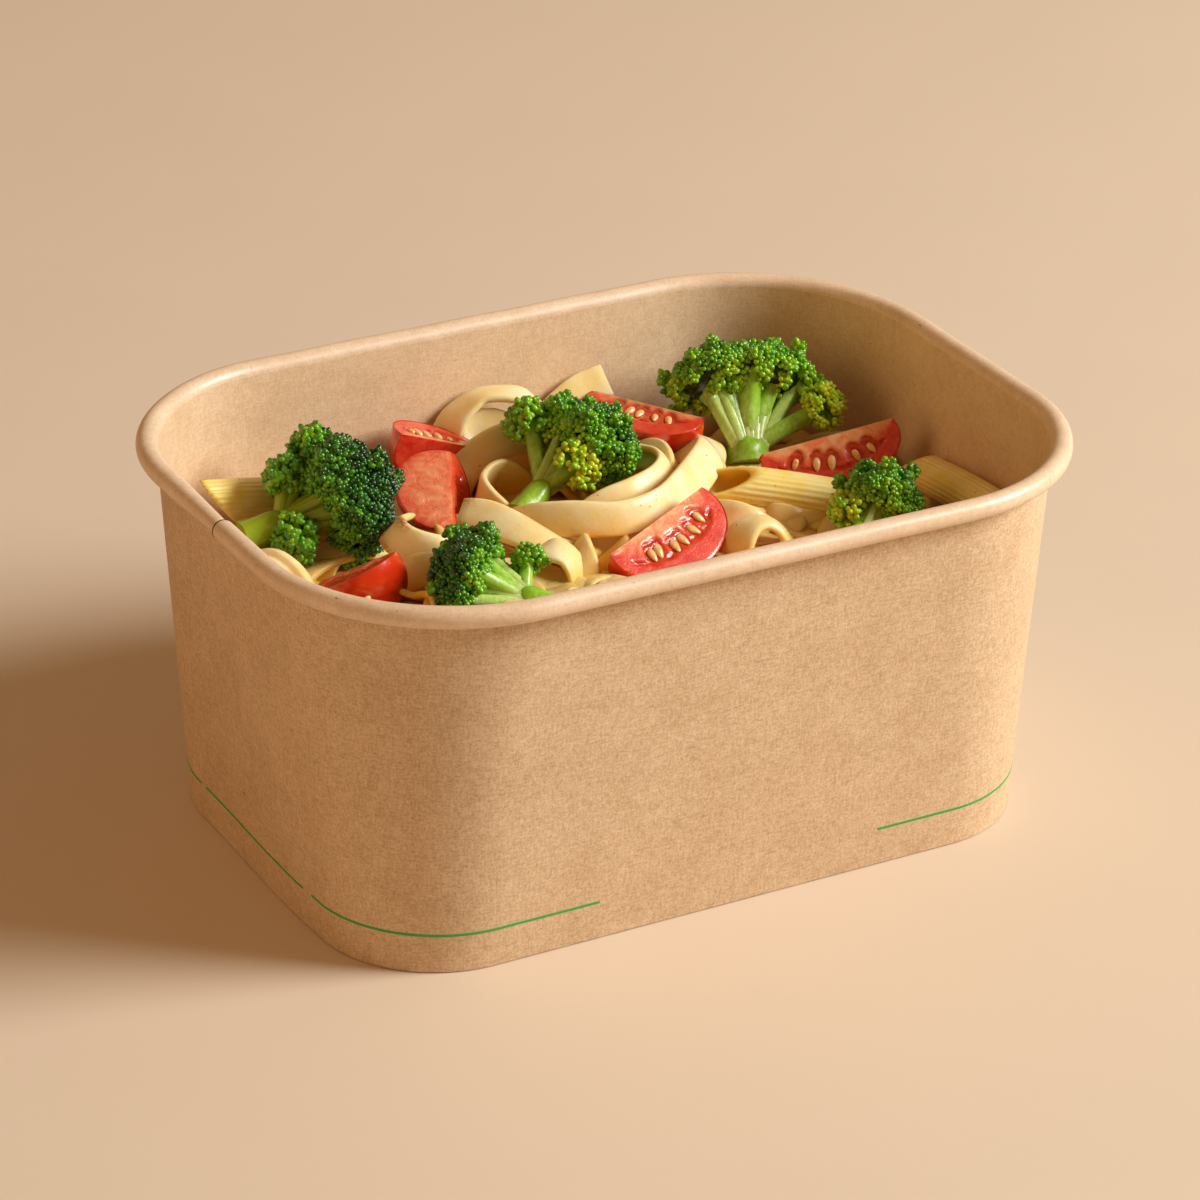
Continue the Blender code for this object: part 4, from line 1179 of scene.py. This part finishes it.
    def build_crown(self):
        """All buds, round the crown's middle, painted dark as the shade between the buds."""
        piece = Piece()
        add_buds(piece, self.buds())
        unit, faces = sphere(3)
        deep = []
        for ray in unit:
            ray = Vector(ray)
            share = min(0.83 if ray.z > -0.3 else 0.72, self.hollow(ray))
            deep.append(self.out(self.surface(ray, ray.z > -0.4)[0], share))
        # The middle takes the darkest bud green: painted shade, seen only between the buds.
        piece.add(deep, faces, tone=0.02)
        piece.build(self.name.replace("broccoli", "broccoli_buds"), [BUD], "broccoli")

    def branch(self, path, widths, sides, base, fall, ridges=0.07, caps=False):
        """A branch along a path. Its tone falls from the base to the tip."""
        tone = [base - fall * t for t in shares(len(path) - 1)]
        tube(self.stems, path, widths, sides, tone, ridges, self.olive, caps)

    def add_fan_branches(self):
        """The pale branches of the bare side, with two twigs each."""
        draw, bare, stalk, fork = self.draw, self.bare, self.stalk, self.fork
        for tip, way, big in self.fans:
            beside = way.cross(bare)
            middle = fork.lerp(tip, 0.42) + bare * stalk * 0.30 + way * 0.4
            root = self.foot.lerp(fork, 0.75) + bare * stalk * 0.35 + beside.cross(bare) * -0.25 * stalk
            path = [root * (1 - t) ** 2 + middle * 2 * t * (1 - t) + tip * t * t for t in shares(8)]
            widths = [stalk * big * (0.40 - 0.13 * t + 0.10 * t ** 4) for t in shares(8)]
            self.branch(path, widths, 16, 0.98, 0.34, 0.08)
            for turn in (-1, 1):
                split = path[5].lerp(path[6], draw.random())
                twig = split + (tip - split) * 0.9 + beside * turn * draw.uniform(2.2, 3.4)
                path_ = [split.lerp(twig, t) + way * 0.8 * math.sin(math.pi * t) for t in shares(4)]
                tube(self.stems, path_, [stalk * big * wide for wide in (0.22, 0.22, 0.22, 0.22, 0.3)], 12,
                     [0.8, 0.74, 0.68, 0.6, 0.5], mask=self.olive)

    def build_stalk(self):
        """The stalk, its branches to the crown and the side crowns, and a stem for each rosette."""
        stalk, fork = self.stalk, self.fork
        steps = range(9)
        top = fork.lerp(self.crown, 0.2)
        widths = [stalk * (1.0 - 0.08 * math.sin(math.pi * k / 8) - 0.62 * max(0, k - 4) ** 2 / 16) for k in steps]
        self.branch([self.foot.lerp(top, k / 8) for k in steps], widths, 24, 0.62, 0.2, 0.045, True)
        rays = [UP] + spread_rays(7, 84, self.draw.uniform(0, 6), 60)
        ends = [self.out(self.surface(ray)[0], 0.66) for ray in rays]
        self.add_fan_branches()
        for end in ends:
            bow = self.axis * (end - fork).length * 0.16
            path = [fork.lerp(end, t) + bow * math.sin(math.pi * t) - bow * 0.3 for t in shares(7)]
            self.branch(path, [stalk * (0.56 - 0.22 * t) for t in shares(7)], 14, 0.72, 0.34)
        for centre, radius, way in self.lobes:
            path = [fork.lerp(centre, t) + way * 0.5 * math.sin(math.pi * t) for t in shares(7)]
            widths = [stalk * 0.46 + (0.34 * radius - stalk * 0.46) * t for t in shares(7)]
            self.branch(path, widths, 14, 0.72, 0.3)
        all_ends = ends + [centre for centre, radius, way in self.lobes] + [tip for tip, way, big in self.fans]
        for centre, radius, direction, tone, loose in self.rosettes:
            source = min(all_ends if loose else ends, key=lambda end: (end - centre).length)
            back = (centre - source).normalized()
            path = [source, source.lerp(centre, 0.5) + (direction - back) * 0.12 * radius, centre + direction * 0.2]
            thin, waist = (0.75, 0.75) if loose else (0.85, 0.6)
            widths = [thin, 0.7 * radius * waist, 0.82 * radius]
            tube(self.stems, path, widths, 7, [0.42, 0.36, 0.30 + 0.3 * tone])
        self.stems.build(self.name.replace("broccoli", "broccoli_stalk"), [STALK], "broccoli", [self.name])

    def build(self):
        self.cover_crown()
        self.add_lobes()
        self.add_fans()
        self.build_crown()
        self.build_stalk()


# The studio.

def build_stage():
    mesh = bpy.data.meshes.new("floor")
    size = 3.0
    mesh.from_pydata([(-size, -size, 0), (size, -size, 0), (size, size, 0), (-size, size, 0)], [], [(0, 1, 2, 3)])
    mesh.materials.append(plain("floor", (0.745, 0.60, 0.45), 0.6))
    floor = add_object("floor", mesh)
    floor.location.z = -0.0002


def add_light(name, where, size, power, color):
    data = bpy.data.lights.new(name, "AREA")
    data.shape = "DISK"
    data.size = size
    data.energy = power
    data.color = color
    item = add_object(name, data)
    item.location = where
    item.rotation_euler = (Vector((0, 0, 0.05)) - Vector(where)).to_track_quat("-Z", "Y").to_euler()


def build_lights():
    add_light("key", (1.49, -0.92, 1.18), 0.95, 59.0, (0.97, 1.0, 0.99))
    add_light("fill", (-1.9, 0.2, 0.9), 1.4, 7.0, (1.0, 0.64, 0.34))
    world = bpy.data.worlds.new("studio")
    bpy.context.scene.world = world
    world.use_nodes = True
    background = world.node_tree.nodes["Background"]
    background.inputs[0].default_value = (1.0, 0.60, 0.30, 1.0)
    background.inputs[1].default_value = 0.27
    bpy.context.scene.view_settings.view_transform = "Standard"


def build_camera():
    """The camera looks at its target from a distance, turned round Z, raised, and rolled round its own axis."""
    place = Matrix.Translation(Vector(CAMERA_TARGET) * MM)
    for degrees, axis in ((CAMERA_TURN, "Z"), (90 - CAMERA_RISE, "X"), (CAMERA_ROLL, "Z")):
        place = place @ Matrix.Rotation(math.radians(degrees), 4, axis)
    data = bpy.data.cameras.new("camera")
    data.lens = CAMERA_LENS
    data.sensor_width = 36.0
    data.clip_start = 0.01
    item = add_object("camera", data)
    item.matrix_world = place @ Matrix.Translation((0, 0, CAMERA_DISTANCE * MM))
    bpy.context.scene.camera = item


build_sleeve()
build_print()
keep_base()
build_core()
build_pasta()
for penne_name, penne_ends in PENNE.items():
    build_penne(penne_name, *penne_ends)
wedge_draw = random.Random("wedges")
for wedge_name, wedge_spec in WEDGES.items():
    build_wedge(wedge_name, *wedge_spec, wedge_draw)
for floret_name in FLORETS:
    Floret(floret_name).build()
build_stage()
build_lights()
build_camera()
